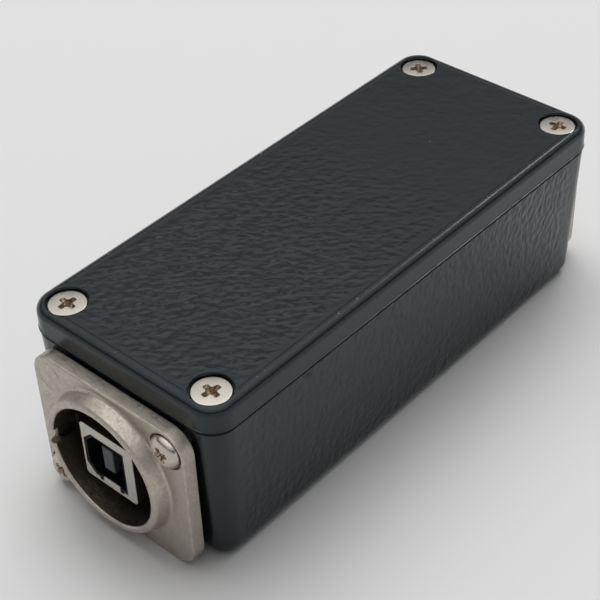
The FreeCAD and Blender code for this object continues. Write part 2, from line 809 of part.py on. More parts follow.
def output_pins():
    pins = []
    for x, z in pin_places():
        nose_y = output_insert_front_y - pin_reach
        pin = lying(pin_radius, nose_y, output_insert_back_y, x, z)
        pin = pin.makeFillet(pin_nose_round, flat_edges(pin, "Y", nose_y))
        cup_end = output_insert_back_y + pin_cup_length
        pin = pin.fuse(lying(pin_cup_radius, output_insert_back_y, cup_end, x, z))
        cup = lying(pin_cup_bore, cup_end - pin_cup_bore_depth, cup_end, x, z)
        opening = brick(
            x - pin_cup_bore, x + pin_cup_bore,
            cup_end - pin_cup_bore_depth, cup_end - pin_cup_lip,
            z, z + pin_cup_radius,
        )
        pins.append(turned_about(pin.cut(cup).cut(opening).removeSplitter()))
    return pins


def solder_joints():
    """Solder in each pin's cup, round the end of its wire."""
    joints = []
    cup_end = output_insert_back_y + pin_cup_length
    for x, z in pin_places():
        fill = lying(pin_cup_bore, cup_end - pin_cup_bore_depth, cup_end - solder_length, x, z)
        sleeve = lying(pin_cup_bore, cup_end - solder_length, cup_end - solder_end_gap, x, z)
        wire = lying(wire_radius, cup_end - solder_length, cup_end, x, z)
        joints.append(turned_about(fill.fuse(sleeve.cut(wire)).removeSplitter()))
    return joints


# ---------------------------------------------------------------- the board and what is on it
def spacer_places():
    x = board_width / 2 - spacer_inset_x
    low = board_low_y + spacer_inset_y
    high = board_high_y - spacer_inset_y
    return ((x, low), (-x, low), (-x, high), (x, high))


def circuit_board():
    board = brick(
        -board_width / 2, board_width / 2, board_low_y, board_high_y, board_low_z, board_top_z
    )
    for x, y in spacer_places():
        hole = spacer_pin_radius + spacer_pin_clearance
        board = board.cut(upright(hole, board_low_z, board_top_z, x, y))
    return board


def board_spacers():
    """Four nylon spacers stuck to the floor; a pin on each goes through the board."""
    spacers = []
    reach = 2 * spacer_radius
    for x, y in spacer_places():
        foot = upright(spacer_radius, body_floor, board_low_z, x, y)
        pin = upright(spacer_pin_radius, board_low_z, board_low_z + spacer_pin_length, x, y)
        spacer = foot.fuse(pin).removeSplitter()
        side = math.copysign(board_width / 2, x)
        low_x, high_x = sorted((side, side + math.copysign(reach, x)))
        beyond = brick(low_x, high_x, y - reach, y + reach, body_floor, board_top_z)
        spacers.append(spacer.cut(beyond))
    return spacers


def transformer_box():
    half_x = transformer_width / 2
    half_y = transformer_length / 2
    return (
        transformer_x - half_x, transformer_x + half_x,
        transformer_y - half_y, transformer_y + half_y,
        board_top_z, board_top_z + transformer_height,
    )


def transformer_core():
    """A ring of laminations that goes round the winding and through the bobbin."""
    x_low, x_high, y_low, y_high, z_low, z_high = transformer_box()
    core = brick(x_low, x_high, y_low, y_high, z_low + lamination_foot, z_high)
    leg = core_leg / 2
    for side in (-1, 1):
        near, far = sorted((transformer_x + side * leg, transformer_x + side * transformer_width))
        window = brick(near, far, y_low + core_end, y_high - core_end, z_low, z_high + 1)
        core = core.cut(window)
    above = brick(
        x_low, x_high, y_low + core_end, y_high - core_end,
        z_high - core_yoke, z_high + 1,
    )
    below = brick(
        x_low, x_high, y_low + core_end, y_high - core_end,
        z_low, z_low + core_yoke,
    )
    return core.cut(above).cut(below)


def around_middle_leg(wall):
    """A block round the core's middle leg, with this much wall over it."""
    x_low, x_high, y_low, y_high, z_low, z_high = transformer_box()
    half = core_leg / 2 + wall
    return brick(
        transformer_x - half, transformer_x + half, y_low + core_end, y_high - core_end,
        z_low + core_yoke - wall, z_high - core_yoke + wall,
    )


def transformer_bobbin():
    """The moulding that the wire is wound on: a square tube with a cheek at each end."""
    x_low, x_high, y_low, y_high, z_low, z_high = transformer_box()
    bobbin = around_middle_leg(cheek_thickness)
    for y in (y_low + core_end, y_high - core_end - cheek_thickness):
        bobbin = bobbin.fuse(brick(x_low, x_high, y, y + cheek_thickness, z_low, z_high))
    return bobbin.cut(around_middle_leg(0.0)).removeSplitter()


def transformer_winding():
    """The wire and its tape, between the bobbin's cheeks."""
    x_low, x_high, y_low, y_high, z_low, z_high = transformer_box()
    block = brick(
        x_low + winding_margin, x_high - winding_margin,
        y_low + core_end + cheek_thickness, y_high - core_end - cheek_thickness,
        z_low + winding_margin, z_high - winding_margin,
    )
    return block.cut(around_middle_leg(cheek_thickness))


def audio_chip():
    low = board_top_z + chip_standoff
    chip = brick(
        chip_x - chip_width / 2, chip_x + chip_width / 2,
        chip_y - chip_length / 2, chip_y + chip_length / 2, low, low + chip_height,
    )
    knee_z = low + chip_height / 2
    for side in (-1, 1):
        root = chip_x + side * chip_width / 2
        toe = root + side * chip_lead_reach
        knee = root + side * chip_lead_reach / 2
        for index in range(chip_leads):
            middle = chip_y + (index - (chip_leads - 1) / 2) * chip_lead_pitch
            y_low = middle - chip_lead_width / 2
            y_high = middle + chip_lead_width / 2
            t = chip_lead_thickness
            x_low, x_high = sorted((root, knee))
            shoulder = brick(x_low, x_high, y_low, y_high, knee_z, knee_z + t)
            x_low, x_high = sorted((knee - side * t, knee))
            drop = brick(x_low, x_high, y_low, y_high, board_top_z, knee_z + t)
            x_low, x_high = sorted((knee - side * t, toe))
            foot = brick(x_low, x_high, y_low, y_high, board_top_z, board_top_z + t)
            chip = chip.fuse(shoulder.fuse(drop).fuse(foot))
    return chip.removeSplitter()


def crystal_can():
    return brick(
        crystal_x - crystal_width / 2, crystal_x + crystal_width / 2,
        crystal_y - crystal_length / 2, crystal_y + crystal_length / 2,
        board_top_z, board_top_z + crystal_height,
    )


def smoothing_capacitors():
    cans = []
    for index in range(can_count):
        y = can_first_y + index * can_pitch
        can = upright(can_radius, board_top_z, board_top_z + can_height, can_x, y)
        top = flat_edges(can, "Z", board_top_z + can_height)
        cans.append(can.makeFillet(can_top_round, top))
    return cans


def film_capacitors():
    boxes = []
    for index in range(film_count):
        x = film_first_x + index * film_pitch
        boxes.append(brick(
            x - film_width / 2, x + film_width / 2,
            film_y - film_length / 2, film_y + film_length / 2,
            board_top_z, board_top_z + film_height,
        ))
    return boxes


def chip_resistors():
    chips = []
    for index in range(resistor_count):
        y = resistor_first_y + index * resistor_pitch
        chips.append(brick(
            resistor_x - resistor_length / 2, resistor_x + resistor_length / 2,
            y - resistor_width / 2, y + resistor_width / 2,
            board_top_z, board_top_z + resistor_height,
        ))
    return chips


def output_header():
    return brick(
        output_header_x - output_header_width / 2, output_header_x + output_header_width / 2,
        output_header_y - output_header_length / 2, output_header_y + output_header_length / 2,
        board_top_z, board_top_z + output_header_height,
    )


def lead_header():
    return brick(
        lead_header_x - lead_header_width / 2, lead_header_x + lead_header_width / 2,
        lead_header_low_y, lead_header_low_y + lead_header_length,
        board_top_z, board_top_z + lead_header_height,
    )


# ---------------------------------------------------------------- the inner lead and wires
plug_tip_y = rear_port_back_y - plug_inserted
grip_low_y = rear_port_back_y + plug_shell_showing
grip_high_y = grip_low_y + grip_length
relief_end_y = grip_high_y + relief_length
lead_entry_z = board_top_z + lead_header_height / 2

# The lead leaves its plug along +Y and comes down sideways to the header on the board.
lead_route = [
    (0.0, relief_end_y, axis_z),
    (0.0, 3.0, axis_z),
    (lead_header_x, 10.4, lead_entry_z),
    (lead_header_x, lead_header_low_y, lead_entry_z),
]

# Three thin wires go from the output header to the solder cups.
wire_end_y = -(output_insert_back_y + pin_cup_length - solder_length)
wire_low_y = output_header_y + output_header_length / 2
wire_low_z = board_top_z + output_header_wire_height
wire_routes = {
    "hot_wire": [
        (output_header_x, wire_low_y, wire_low_z),
        (output_header_x, 17.0, wire_low_z),
        (-3.9, 20.3, 11.4),
        (-1.6, 22.9, 16.2),
        (0.0, 26.8, axis_z + pin_circle_radius),
        (0.0, wire_end_y, axis_z + pin_circle_radius),
    ],
    "cold_wire": [
        (output_header_x - output_header_pitch, wire_low_y, wire_low_z),
        (output_header_x - output_header_pitch, 17.6, wire_low_z),
        (-6.3, 22.2, 11.0),
        (-pin_circle_radius, 26.8, axis_z),
        (-pin_circle_radius, wire_end_y, axis_z),
    ],
    "ground_wire": [
        (output_header_x + output_header_pitch, wire_low_y, wire_low_z),
        (output_header_x + output_header_pitch, 18.4, wire_low_z),
        (0.0, 25.6, axis_z - pin_circle_radius),
        (0.0, wire_end_y, axis_z - pin_circle_radius),
    ],
}


def internal_plug_shell():
    outer = brick(
        -plug_shell_width / 2, plug_shell_width / 2, plug_tip_y, grip_low_y,
        axis_z - plug_shell_height / 2, axis_z + plug_shell_height / 2,
    )
    wall = plug_shell_wall
    inner = brick(
        -plug_shell_width / 2 + wall, plug_shell_width / 2 - wall, plug_tip_y, grip_low_y - wall,
        axis_z - plug_shell_height / 2 + wall, axis_z + plug_shell_height / 2 - wall,
    )
    return outer.cut(inner)


def internal_plug_block():
    """The moulding that fills one half of the plug's shell and carries its contacts."""
    low_x = -plug_shell_width / 2 + plug_shell_wall
    return brick(
        low_x, low_x + plug_block_width, plug_tip_y, grip_low_y - plug_shell_wall,
        axis_z - plug_shell_height / 2 + plug_shell_wall,
        axis_z + plug_shell_height / 2 - plug_shell_wall,
    )


def internal_plug_grip():
    grip = plate(grip_width / 2, grip_height / 2, grip_corner_radius, grip_low_y, grip_high_y)
    relief = lying_cone(relief_start_radius, relief_end_radius, grip_high_y, relief_end_y)
    return grip.fuse(relief).removeSplitter()


# ---------------------------------------------------------------- every node, by name
def all_nodes():
    nodes = {
        "enclosure_body": enclosure_body(),
        "enclosure_lid": enclosure_lid(),
        "usb_housing": usb_housing(),
        "usb_gasket": panel_gasket(),
        "usb_housing_screws": flange_screws(),
        "usb_port_shell": usb_port_shell(),
        "usb_port_insulator": usb_port_insulator(),
        "usb_port_contacts": contact_strips(),
        "usb_insert_carrier": usb_insert_carrier(),
        "usb_rear_port_shell": usb_rear_port_shell(),
        "usb_rear_port_tongue": usb_rear_port_tongue(),
        "output_housing": output_housing(),
        "output_gasket": turned_about(panel_gasket()),
        "output_housing_screws": [turned_about(screw) for screw in flange_screws()],
        "output_insert": output_insert(),
        "output_pins": output_pins(),
        "solder_joints": solder_joints(),
        "circuit_board": circuit_board(),
        "board_spacers": board_spacers(),
        "transformer_core": transformer_core(),
        "transformer_bobbin": transformer_bobbin(),
        "transformer_winding": transformer_winding(),
        "audio_chip": audio_chip(),
        "crystal_can": crystal_can(),
        "smoothing_capacitors": smoothing_capacitors(),
        "film_capacitors": film_capacitors(),
        "chip_resistors": chip_resistors(),
        "output_header": output_header(),
        "lead_header": lead_header(),
        "internal_plug_shell": internal_plug_shell(),
        "internal_plug_block": internal_plug_block(),
        "internal_plug_grip": internal_plug_grip(),
        "internal_lead": tube_along(lead_route, lead_radius, "internal_lead"),
    }
    names = ("front_right", "front_left", "back_left", "back_right")
    for name, (x, y) in zip(names, post_places()):
        nodes["lid_screw_" + name] = lid_screw(x, y)
    for name, route in wire_routes.items():
        nodes[name] = tube_along(route, wire_radius, name)
    return nodes


def write_nodes():
    os.makedirs("parts", exist_ok=True)
    for name, shape in all_nodes().items():
        if isinstance(shape, list):
            shape = Part.makeCompound(shape)
        solids = shape.Solids
        if len(solids) == 1:
            shape = solids[0]
        good = shape.isValid() and all(s.isClosed() for s in solids)
        print(f"{name}: {len(solids)} solid(s), {shape.Volume:.1f} mm3, {'ok' if good else 'BAD'}")
        shape.exportStep(os.path.join("parts", name + ".step"))


write_nodes()
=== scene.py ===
# %% [markdown]
# # Dressing a small direct injection box
# The real thing is a diecast aluminium case that fits in a palm, with a textured black coat. A
# nickel-plated connector is screwed to each end. This file is a lesson in cells: each one shapes
# a piece or mixes a finish, and prints what it made.

# %% Load the fixed frame
import math

import bmesh
import bpy
from mathutils import Matrix, Vector


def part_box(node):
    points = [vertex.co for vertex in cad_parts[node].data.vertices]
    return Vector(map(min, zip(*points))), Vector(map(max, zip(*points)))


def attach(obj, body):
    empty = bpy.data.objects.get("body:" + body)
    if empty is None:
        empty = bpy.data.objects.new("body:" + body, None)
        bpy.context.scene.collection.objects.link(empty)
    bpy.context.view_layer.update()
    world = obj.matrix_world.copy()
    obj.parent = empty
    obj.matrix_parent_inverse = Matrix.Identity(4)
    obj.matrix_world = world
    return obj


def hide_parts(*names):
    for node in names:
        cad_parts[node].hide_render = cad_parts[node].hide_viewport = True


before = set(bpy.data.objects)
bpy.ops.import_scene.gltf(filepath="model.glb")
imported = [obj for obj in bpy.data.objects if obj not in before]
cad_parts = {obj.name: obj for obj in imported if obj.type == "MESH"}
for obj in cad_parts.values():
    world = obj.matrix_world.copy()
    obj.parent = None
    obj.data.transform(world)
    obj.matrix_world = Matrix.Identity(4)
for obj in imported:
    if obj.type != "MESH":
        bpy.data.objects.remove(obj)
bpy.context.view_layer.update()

# %% [markdown]
# ## Measure in millimetres
# Blender works in metres and so does the frame, but a screw head is easier to think of as 6 mm
# than as 0.006 m. Every piece is shaped in millimetres, and the step that finishes it scales its
# mesh once. The sizes come from the frame, so that the dressed pieces fit what carries them.

# %% Read the sizes off the frame
MM = 0.001


def node_box(node):
    """The lowest and highest corner of a CAD node, in millimetres."""
    low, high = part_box(node)
    return low / MM, high / MM


def middle(node):
    low, high = node_box(node)
    return (low + high) / 2


body_low, body_high = node_box("enclosure_body")
lid_low, lid_high = node_box("enclosure_lid")
front_low, front_high = node_box("usb_housing")
parting_z = body_high.z
WALL_LEAN = 1.0
axis_z = middle("usb_insert_carrier").z
lid_screws = sorted(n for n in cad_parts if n.startswith("lid_screw_"))
print(f"case {lid_high.x * 2:.1f} x {lid_high.y * 2:.1f} x {lid_high.z:.1f} mm,", lid_screws)

# %% [markdown]
# ## Camera
# A product picture of a small object is taken from above one corner with a long lens, so that the
# far end stays nearly as big as the near one. The camera is turned in three steps: round the
# object, up over it, and a little tilt of the head.

# %% Put things in the scene
def in_scene(name, data):
    """A new object, made of its data."""
    made = bpy.data.objects.new(name, data)
    bpy.context.scene.collection.objects.link(made)
    return made


def as_object(shape, name):
    """Puts a shape in the scene as it is, and frees it."""
    mesh = bpy.data.meshes.new(name)
    shape.to_mesh(mesh)
    shape.free()
    return in_scene(name, mesh)


# %% Place the camera
camera = in_scene("camera", bpy.data.cameras.new("camera"))
camera_round = Matrix.Rotation(math.radians(42.913), 4, "Z")
camera_up = Matrix.Rotation(math.radians(90.0 - 39.953), 4, "X")
camera_tilt = Matrix.Rotation(math.radians(-2.352), 4, "Z")
camera_place = Matrix.Translation((0.12579, -0.14278, 0.17133))
camera.matrix_world = camera_place @ camera_round @ camera_up @ camera_tilt
camera.data.sensor_width = 36.0
camera.data.lens = 90.46
camera.data.clip_start = 0.01
bpy.context.scene.camera = camera

# %% [markdown]
# ## Node helpers
# A material is a small network. A few helpers keep the cells short: one adds a node, sets what it
# is given and links what comes from another node, and the rest stand for nodes that turn up again
# and again. Patterns are measured in millimetres on the piece, so the same grain has the same size
# on every piece.

# %% Helpers for shader networks
def plug(tree, node, sockets):
    """Sets a node's inputs by name or number; an output is linked, a colour is red, green, blue."""
    for name, value in dict(sockets).items():
        socket = node.inputs[name]
        if isinstance(value, bpy.types.NodeSocket):
            tree.links.new(value, socket)
        else:
            socket.default_value = (*value, 1.0) if socket.type == "RGBA" else value


def add(tree, kind, sockets=(), **settings):
    """Adds one shader node, with its settings and its inputs."""
    node = tree.nodes.new("ShaderNode" + kind)
    for name, value in settings.items():
        setattr(node, name, value)
    plug(tree, node, sockets)
    return node


def math_node(tree, operation, *values, clamp=False):
    return add(tree, "Math", enumerate(values), operation=operation, use_clamp=clamp).outputs[0]


def times(tree, first, *others):
    """The product of everything that it is given."""
    for other in others:
        first = math_node(tree, "MULTIPLY", first, other)
    return first


def minus(tree, first, second):
    return math_node(tree, "SUBTRACT", first, second)


def add_share(tree, layer, share, rest, clamp=False):
    """A share of a layer, on top of the rest."""
    return math_node(tree, "MULTIPLY_ADD", layer, share, rest, clamp=clamp)


def more_than(tree, value, limit):
    return math_node(tree, "GREATER_THAN", value, limit)


def less_than(tree, value, limit):
    return math_node(tree, "LESS_THAN", value, limit)


def within(tree, value, centre, reach):
    """1 where a value is no further than the reach from the centre, else 0."""
    return math_node(tree, "COMPARE", value, centre, reach)


def coordinate(tree, place, axis):
    return add(tree, "SeparateXYZ", {0: place}).outputs[axis]


def noise(tree, place, scale, detail=2.0, roughness=0.5):
    return add(tree, "TexNoise", {"Vector": place, "Scale": scale, "Detail": detail,
                                  "Roughness": roughness}).outputs[0]


def mix_colour(tree, share, first, second):
    return add(tree, "Mix", {0: share, 6: first, 7: second}, data_type="RGBA").outputs[2]


def fade(tree, value, start, stop, low=0.0, high=1.0, kind="SMOOTHSTEP"):
    """Goes smoothly from low to high as the value goes from start to stop."""
    return add(tree, "MapRange", {"Value": value, "From Min": start, "From Max": stop,
                                  "To Min": low, "To Max": high},
               interpolation_type=kind).outputs["Result"]


def bump(tree, height, depth_mm):
    return add(tree, "Bump", {"Height": height, "Distance": depth_mm * MM,
                              "Strength": 1.0}).outputs["Normal"]


# %% Start a material, start a group and use one
def start_material(name):
    """A new material: itself, its node tree, its shader and the place of a point on its piece."""
    material = bpy.data.materials.new(name)
    material.use_nodes = True
    tree = material.node_tree
    tree.nodes.clear()
    shader = add(tree, "BsdfPrincipled")
    add(tree, "OutputMaterial", {"Surface": shader.outputs["BSDF"]})
    metres = add(tree, "TexCoord").outputs["Object"]
    place = add(tree, "VectorMath", {0: metres, "Scale": 1 / MM}, operation="SCALE").outputs[0]
    return material, tree, shader, place


def start_group(name, inputs, outputs):
    """A node group that takes a place and named values, and gives back named numbers."""
    tree = bpy.data.node_groups.new(name, "ShaderNodeTree")
    tree.interface.new_socket("Place", in_out="INPUT", socket_type="NodeSocketVector")
    for socket, value in inputs.items():
        kind = "NodeSocketVector" if isinstance(value, tuple) else "NodeSocketFloat"
        made = tree.interface.new_socket(socket, in_out="INPUT", socket_type=kind)
        made.default_value = value
    for socket in outputs:
        tree.interface.new_socket(socket, in_out="OUTPUT", socket_type="NodeSocketFloat")
    return tree, tree.nodes.new("NodeGroupInput").outputs, tree.nodes.new("NodeGroupOutput")


def use_group(tree, group, place, **values):
    return add(tree, "Group", {"Place": place, **values}, node_tree=group).outputs


# %% [markdown]
# ## Shared effects
# Five effects turn up in several finishes, so each is a node group: a leathery grain, a fine sand,
# a scatter of dust, hairline scratches and a slow mottling. Each group only puts out values, and
# every material decides what to do with them.

# %% Leathery grain
leather_grain, given, result = start_group("leather grain", {"Size": 1.0, "Wander": 0.5},
                                           ["Height"])
per_mm = math_node(leather_grain, "DIVIDE", 1.0, given["Size"])
warp = add(leather_grain, "TexNoise", {"Vector": given["Place"], "Scale": 0.9, "Detail": 1.0})
warp = add(leather_grain, "VectorMath", {0: warp.outputs["Color"], 1: (0.5, 0.5, 0.5)},
           operation="SUBTRACT").outputs[0]
warp = add(leather_grain, "VectorMath", {0: warp, "Scale": given["Wander"]},
           operation="SCALE").outputs[0]
warp = add(leather_grain, "VectorMath", {0: given["Place"], 1: warp}).outputs[0]
pebbles = add(leather_grain, "TexVoronoi", {"Vector": warp, "Scale": per_mm, "Smoothness": 0.7},
              feature="SMOOTH_F1").outputs["Distance"]
ripples = noise(leather_grain, warp, per_mm, 0.7, 0.45)
plug(leather_grain, result, {"Height": add_share(leather_grain, pebbles, -0.7, ripples)})

# %% Fine sand, as a casting keeps from its mould
cast_sand, given, result = start_group("cast sand", {"Size": 0.2}, ["Height", "Sparkle"])
per_mm = math_node(cast_sand, "DIVIDE", 1.0, given["Size"])
crystal = add(cast_sand, "TexVoronoi", {"Vector": given["Place"], "Scale": per_mm})
crystal = add(cast_sand, "SeparateColor", {0: crystal.outputs["Color"]}).outputs[0]
plug(cast_sand, result, {"Height": noise(cast_sand, given["Place"], per_mm, 3.0, 0.6),
                         "Sparkle": crystal})

# %% A scatter of dust or pits
dust_scatter, given, result = start_group(
    "dust scatter", {"Spacing": 4.0, "Radius": 0.1, "Share": 0.4}, ["Mask"])
per_mm = math_node(dust_scatter, "DIVIDE", 1.0, given["Spacing"])
cells = add(dust_scatter, "TexVoronoi", {"Vector": given["Place"], "Scale": per_mm})
lucky = add(dust_scatter, "SeparateColor", {0: cells.outputs["Color"]})
reach = times(dust_scatter, lucky.outputs[1], given["Radius"], per_mm)
near = less_than(dust_scatter, cells.outputs["Distance"], reach)
chosen = less_than(dust_scatter, lucky.outputs[0], given["Share"])
plug(dust_scatter, result, {"Mask": times(dust_scatter, near, chosen)})

# %% Hairline scratches: thin level lines of a stretched noise
hairlines, given, result = start_group(
    "hairlines", {"Stretch": (0.1, 1.2, 1.2), "Width": 0.004}, ["Mask"])
stretched = add(hairlines, "VectorMath", {0: given["Place"], 1: given["Stretch"]},
                operation="MULTIPLY").outputs[0]
offset = math_node(hairlines, "ABSOLUTE", minus(hairlines, noise(hairlines, stretched, 1.0, 1.0),
                                                0.5))
line = less_than(hairlines, offset, given["Width"])
patches = more_than(hairlines, noise(hairlines, given["Place"], 0.11), 0.56)
plug(hairlines, result, {"Mask": times(hairlines, line, patches)})

# %% Slow mottling, from 0 to 1
mottle, given, result = start_group("mottle", {"Size": 5.0, "Contrast": 2.0}, ["Mask"])
per_mm = math_node(mottle, "DIVIDE", 1.0, given["Size"])
cloud = minus(mottle, noise(mottle, given["Place"], per_mm, 4.0, 0.6), 0.5)
plug(mottle, result, {"Mask": add_share(mottle, cloud, given["Contrast"], 0.5, clamp=True)})


def clouds(tree, place, size, contrast):
    """Slow mottling with clouds of a size in millimetres."""
    return use_group(tree, mottle, place, Size=size, Contrast=contrast)["Mask"]


print("groups:", [g.name for g in bpy.data.node_groups])

# %% [markdown]
# ## Textured black coat
# The case is sprayed with a black powder that wrinkles slightly as it is baked. It lies thick and
# leathery on the flats, and runs smooth near the edges and on the narrow band of the lid. The coat
# is not metallic: it is a dark plastic skin with a soft gloss, so nearly all that shows is what it
# reflects. The grain is a bump, because it is far finer than the shapes that carry it, and the
# distance to the nearest edge fades it out. The spray comes from outside, so the inside stays bare:
# dull silver aluminium with a sandy skin, told from the coat by how deep a point lies.

# %% Coat: the parts that the lid and the body share
COAT_COLOUR = (0.0068, 0.0083, 0.0096)
COAT_CLOUDS = (0.0088, 0.0105, 0.0120)
# Near-black for the scratches, and for the painted shade in the gap under the lid.
SCRATCH_AND_SHADE_COLOUR = (0.0015, 0.0015, 0.0015)
DUST_COLOUR = (0.32, 0.33, 0.34)
# Light colour for wear on the body, and for the painted sparkle and painted highlight on the lid's
# edges.
WEAR_AND_HIGHLIGHT_COLOUR = (0.55, 0.56, 0.57)


def edge_room(tree, place, axis, half):
    """How far a point is from the end of the case along one axis."""
    return minus(tree, half, math_node(tree, "ABSOLUTE", coordinate(tree, place, axis)))


def border_room(tree, place, high):
    """How far a point is from the nearest of the four sides."""
    return math_node(tree, "MINIMUM", edge_room(tree, place, 0, high.x),
                     edge_room(tree, place, 1, high.y))


def painted_gap_shade(tree, place):
    """Painted shade: a matt dark band round the gap between the lid and the body."""
    height = coordinate(tree, place, 2)
    return times(tree, fade(tree, height, parting_z - 0.42, parting_z - 0.26),
                 fade(tree, height, parting_z + 0.36, parting_z + 0.30))


def coat(name, flat_mask, mark, wear_and_highlight_edge, bare_inside, grain_depth, grain_turn, grain_stretch):
    """The black coat; each mask adds its nodes and gives back a value from 0 to 1."""
    material, tree, shader, place = start_material(name)
    flat = flat_mask(tree, place)
    # worn: wear; on the lid it is also painted sparkle on the border and a painted highlight on the
    # lower lip.
    worn = wear_and_highlight_edge(tree, place)
    bare = bare_inside(tree, place)
    marked = mark(tree, place)
    coated = minus(tree, 1.0, bare)
    # Painted shade in the gap under the lid: the coat turns darker and matt where the band lies.
    gap_shade = times(tree, painted_gap_shade(tree, place), coated)
    laid = add(tree, "Mapping", {"Vector": place, "Rotation": (0.0, 0.0, math.radians(grain_turn)),
                                 "Scale": grain_stretch}, vector_type="TEXTURE").outputs[0]
    grain = use_group(tree, leather_grain, laid, Size=1.1, Wander=0.6)["Height"]
    waves = noise(tree, place, 0.45, 1.0)
    dust = use_group(tree, dust_scatter, place, Spacing=6.5, Radius=0.13, Share=0.45)["Mask"]
    cloud = clouds(tree, place, 9.0, 1.6)
    sand = use_group(tree, cast_sand, place, Size=0.35)["Height"]
    metal = mix_colour(tree, cloud, (0.20, 0.20, 0.20), (0.46, 0.46, 0.45))
    shade = mix_colour(tree, cloud, COAT_COLOUR, COAT_CLOUDS)
    # Mixed in turn: scratches, dust, wear with painted highlight, painted shade in the gap, then
    # the bare inside.
    for share, colour in ((marked, SCRATCH_AND_SHADE_COLOUR), (dust, DUST_COLOUR), (worn, WEAR_AND_HIGHLIGHT_COLOUR),
                          (gap_shade, SCRATCH_AND_SHADE_COLOUR), (bare, metal)):
        shade = mix_colour(tree, share, shade, colour)
    rough = add_share(tree, flat, 0.08, 0.20)
    for layer, share in ((gap_shade, 0.7), (cloud, 0.04), (marked, 0.25), (bare, 0.32)):
        rough = add_share(tree, layer, share, rough)
    height = times(tree, grain, flat, coated)
    for layer, share in ((sand, 0.035), (waves, 0.15), (dust, 0.4), (marked, -0.3)):
        height = add_share(tree, layer, share, height)
    plug(tree, shader, {
        "Base Color": shade, "Metallic": times(tree, bare, 0.9), "Roughness": rough,
        "Normal": bump(tree, height, grain_depth), "IOR": 1.5,
        "Specular Tint": (0.82, 0.94, 1.0),
    })
    return material


# %% Coat of the lid: leathery on top, smooth within a few millimetres of its edge
def lid_flat(tree, place):
    inside = fade(tree, border_room(tree, place, lid_high), 1.6, 4.4)
    return times(tree, inside, fade(tree, coordinate(tree, place, 1), -22.0, 22.0, 1.0, 0.06))


def line_mask(tree, place, centre, turn, length, width):
    """A short straight line on a surface, for a scratch."""
    laid = add(tree, "Mapping", {"Vector": place, "Location": centre,
                                 "Rotation": (0.0, 0.0, math.radians(turn))},
               vector_type="TEXTURE").outputs[0]
    return times(tree, within(tree, coordinate(tree, laid, 1), 0.0, width / 2),
                 within(tree, coordinate(tree, laid, 0), 0.0, length / 2))


def lid_marks(tree, place):
    hair = use_group(tree, hairlines, place, Stretch=(0.5, 0.06, 0.5), Width=0.0016)["Mask"]
    scratch = line_mask(tree, place, (-11.6, -32.2, lid_high.z), -62.0, 1.9, 0.12)
    return math_node(tree, "MAXIMUM", times(tree, hair, 0.08), scratch)


def lid_wear_and_highlight(tree, place):
    """Chips of bare metal on the top's border, partly painted sparkle, and a painted highlight on
    the lower lip.
    """
    height = coordinate(tree, place, 2)
    room = border_room(tree, place, lid_high)
    # Chips along the border, which also stand in for a painted sparkle.
    crumbs = fade(tree, noise(tree, place, 2.1), 0.65, 0.72, 0.0, 0.4)
    border = times(tree, within(tree, room, 1.25, 0.14), more_than(tree, height, lid_high.z - 0.5),
                   crumbs)
    # Painted highlight: a light line on the lower lip, broken up by noise and brighter towards the
    # back end.
    low = math_node(tree, "ABSOLUTE", minus(tree, height, parting_z + 0.40))
    rubbed = fade(tree, noise(tree, place, 0.5, 3.0), 0.30, 0.62, 0.20, 0.80)
    low = times(tree, fade(tree, low, 0.12, 0.07), less_than(tree, room, 0.3), rubbed,
                fade(tree, coordinate(tree, place, 1), -38.0, 20.0, 0.15, 1.0))
    return math_node(tree, "MAXIMUM", border, low)


def lid_inside(tree, place):
    """The underside, which no spray reached."""
    under = less_than(tree, coordinate(tree, place, 2), lid_high.z - 1.6)
    return times(tree, under, fade(tree, border_room(tree, place, lid_high), 2.2, 3.0))


coat_lid = coat("black coat, lid", lid_flat, lid_marks, lid_wear_and_highlight, lid_inside, 0.25,
                grain_turn=43.0, grain_stretch=(1.5, 0.95, 1.0))


# %% Coat of the body: leathery on the long sides, smooth towards the ends
def body_flat(tree, place):
    return fade(tree, edge_room(tree, place, 1, body_high.y), 2.0, 10.0)


def body_marks(tree, place):
    """A small scuff on the long side, just under the lid."""
    away = add(tree, "VectorMath", {0: place, 1: (body_high.x, -26.7, parting_z - 1.2)},
               operation="DISTANCE").outputs["Value"]
    crumbs = more_than(tree, noise(tree, place, 2.4), 0.55)
    return times(tree, fade(tree, away, 1.0, 0.5), crumbs)


def body_worn(tree, place):
    """A few rubbed places along the round bottom edge."""
    rubbed = fade(tree, noise(tree, place, 0.8, 3.0), 0.62, 0.7, 0.0, 0.25)
    return times(tree, fade(tree, coordinate(tree, place, 2), 0.9, 0.3), rubbed)


def body_inside(tree, place):
    """The inside: well behind the outer surface, whose walls lean in towards the floor."""
    height = coordinate(tree, place, 2)
    lean = fade(tree, height, 0.0, parting_z, WALL_LEAN, 0.0, "LINEAR")
    room = minus(tree, border_room(tree, place, body_high), lean)
    room = math_node(tree, "MINIMUM", room, math_node(tree, "ADD", height, 0.2))
    return fade(tree, room, 1.2, 1.7)


coat_body = coat("black coat, body", body_flat, body_marks, body_worn, body_inside, 0.20,
                 grain_turn=0.0, grain_stretch=(1.0, 0.9, 1.3))

# %% [markdown]
# ## Dull nickel on a zinc casting
# The connector housings are cast in zinc and plated with nickel. Up close the plate is not a
# mirror: it keeps the sandy skin of the mould, so light breaks into tiny sparkles, and years of
# handling leave it warmer and darker in the hollows. Roughness carries the sparkle, the colour
# carries the stain, and a shallow bump carries the sand.

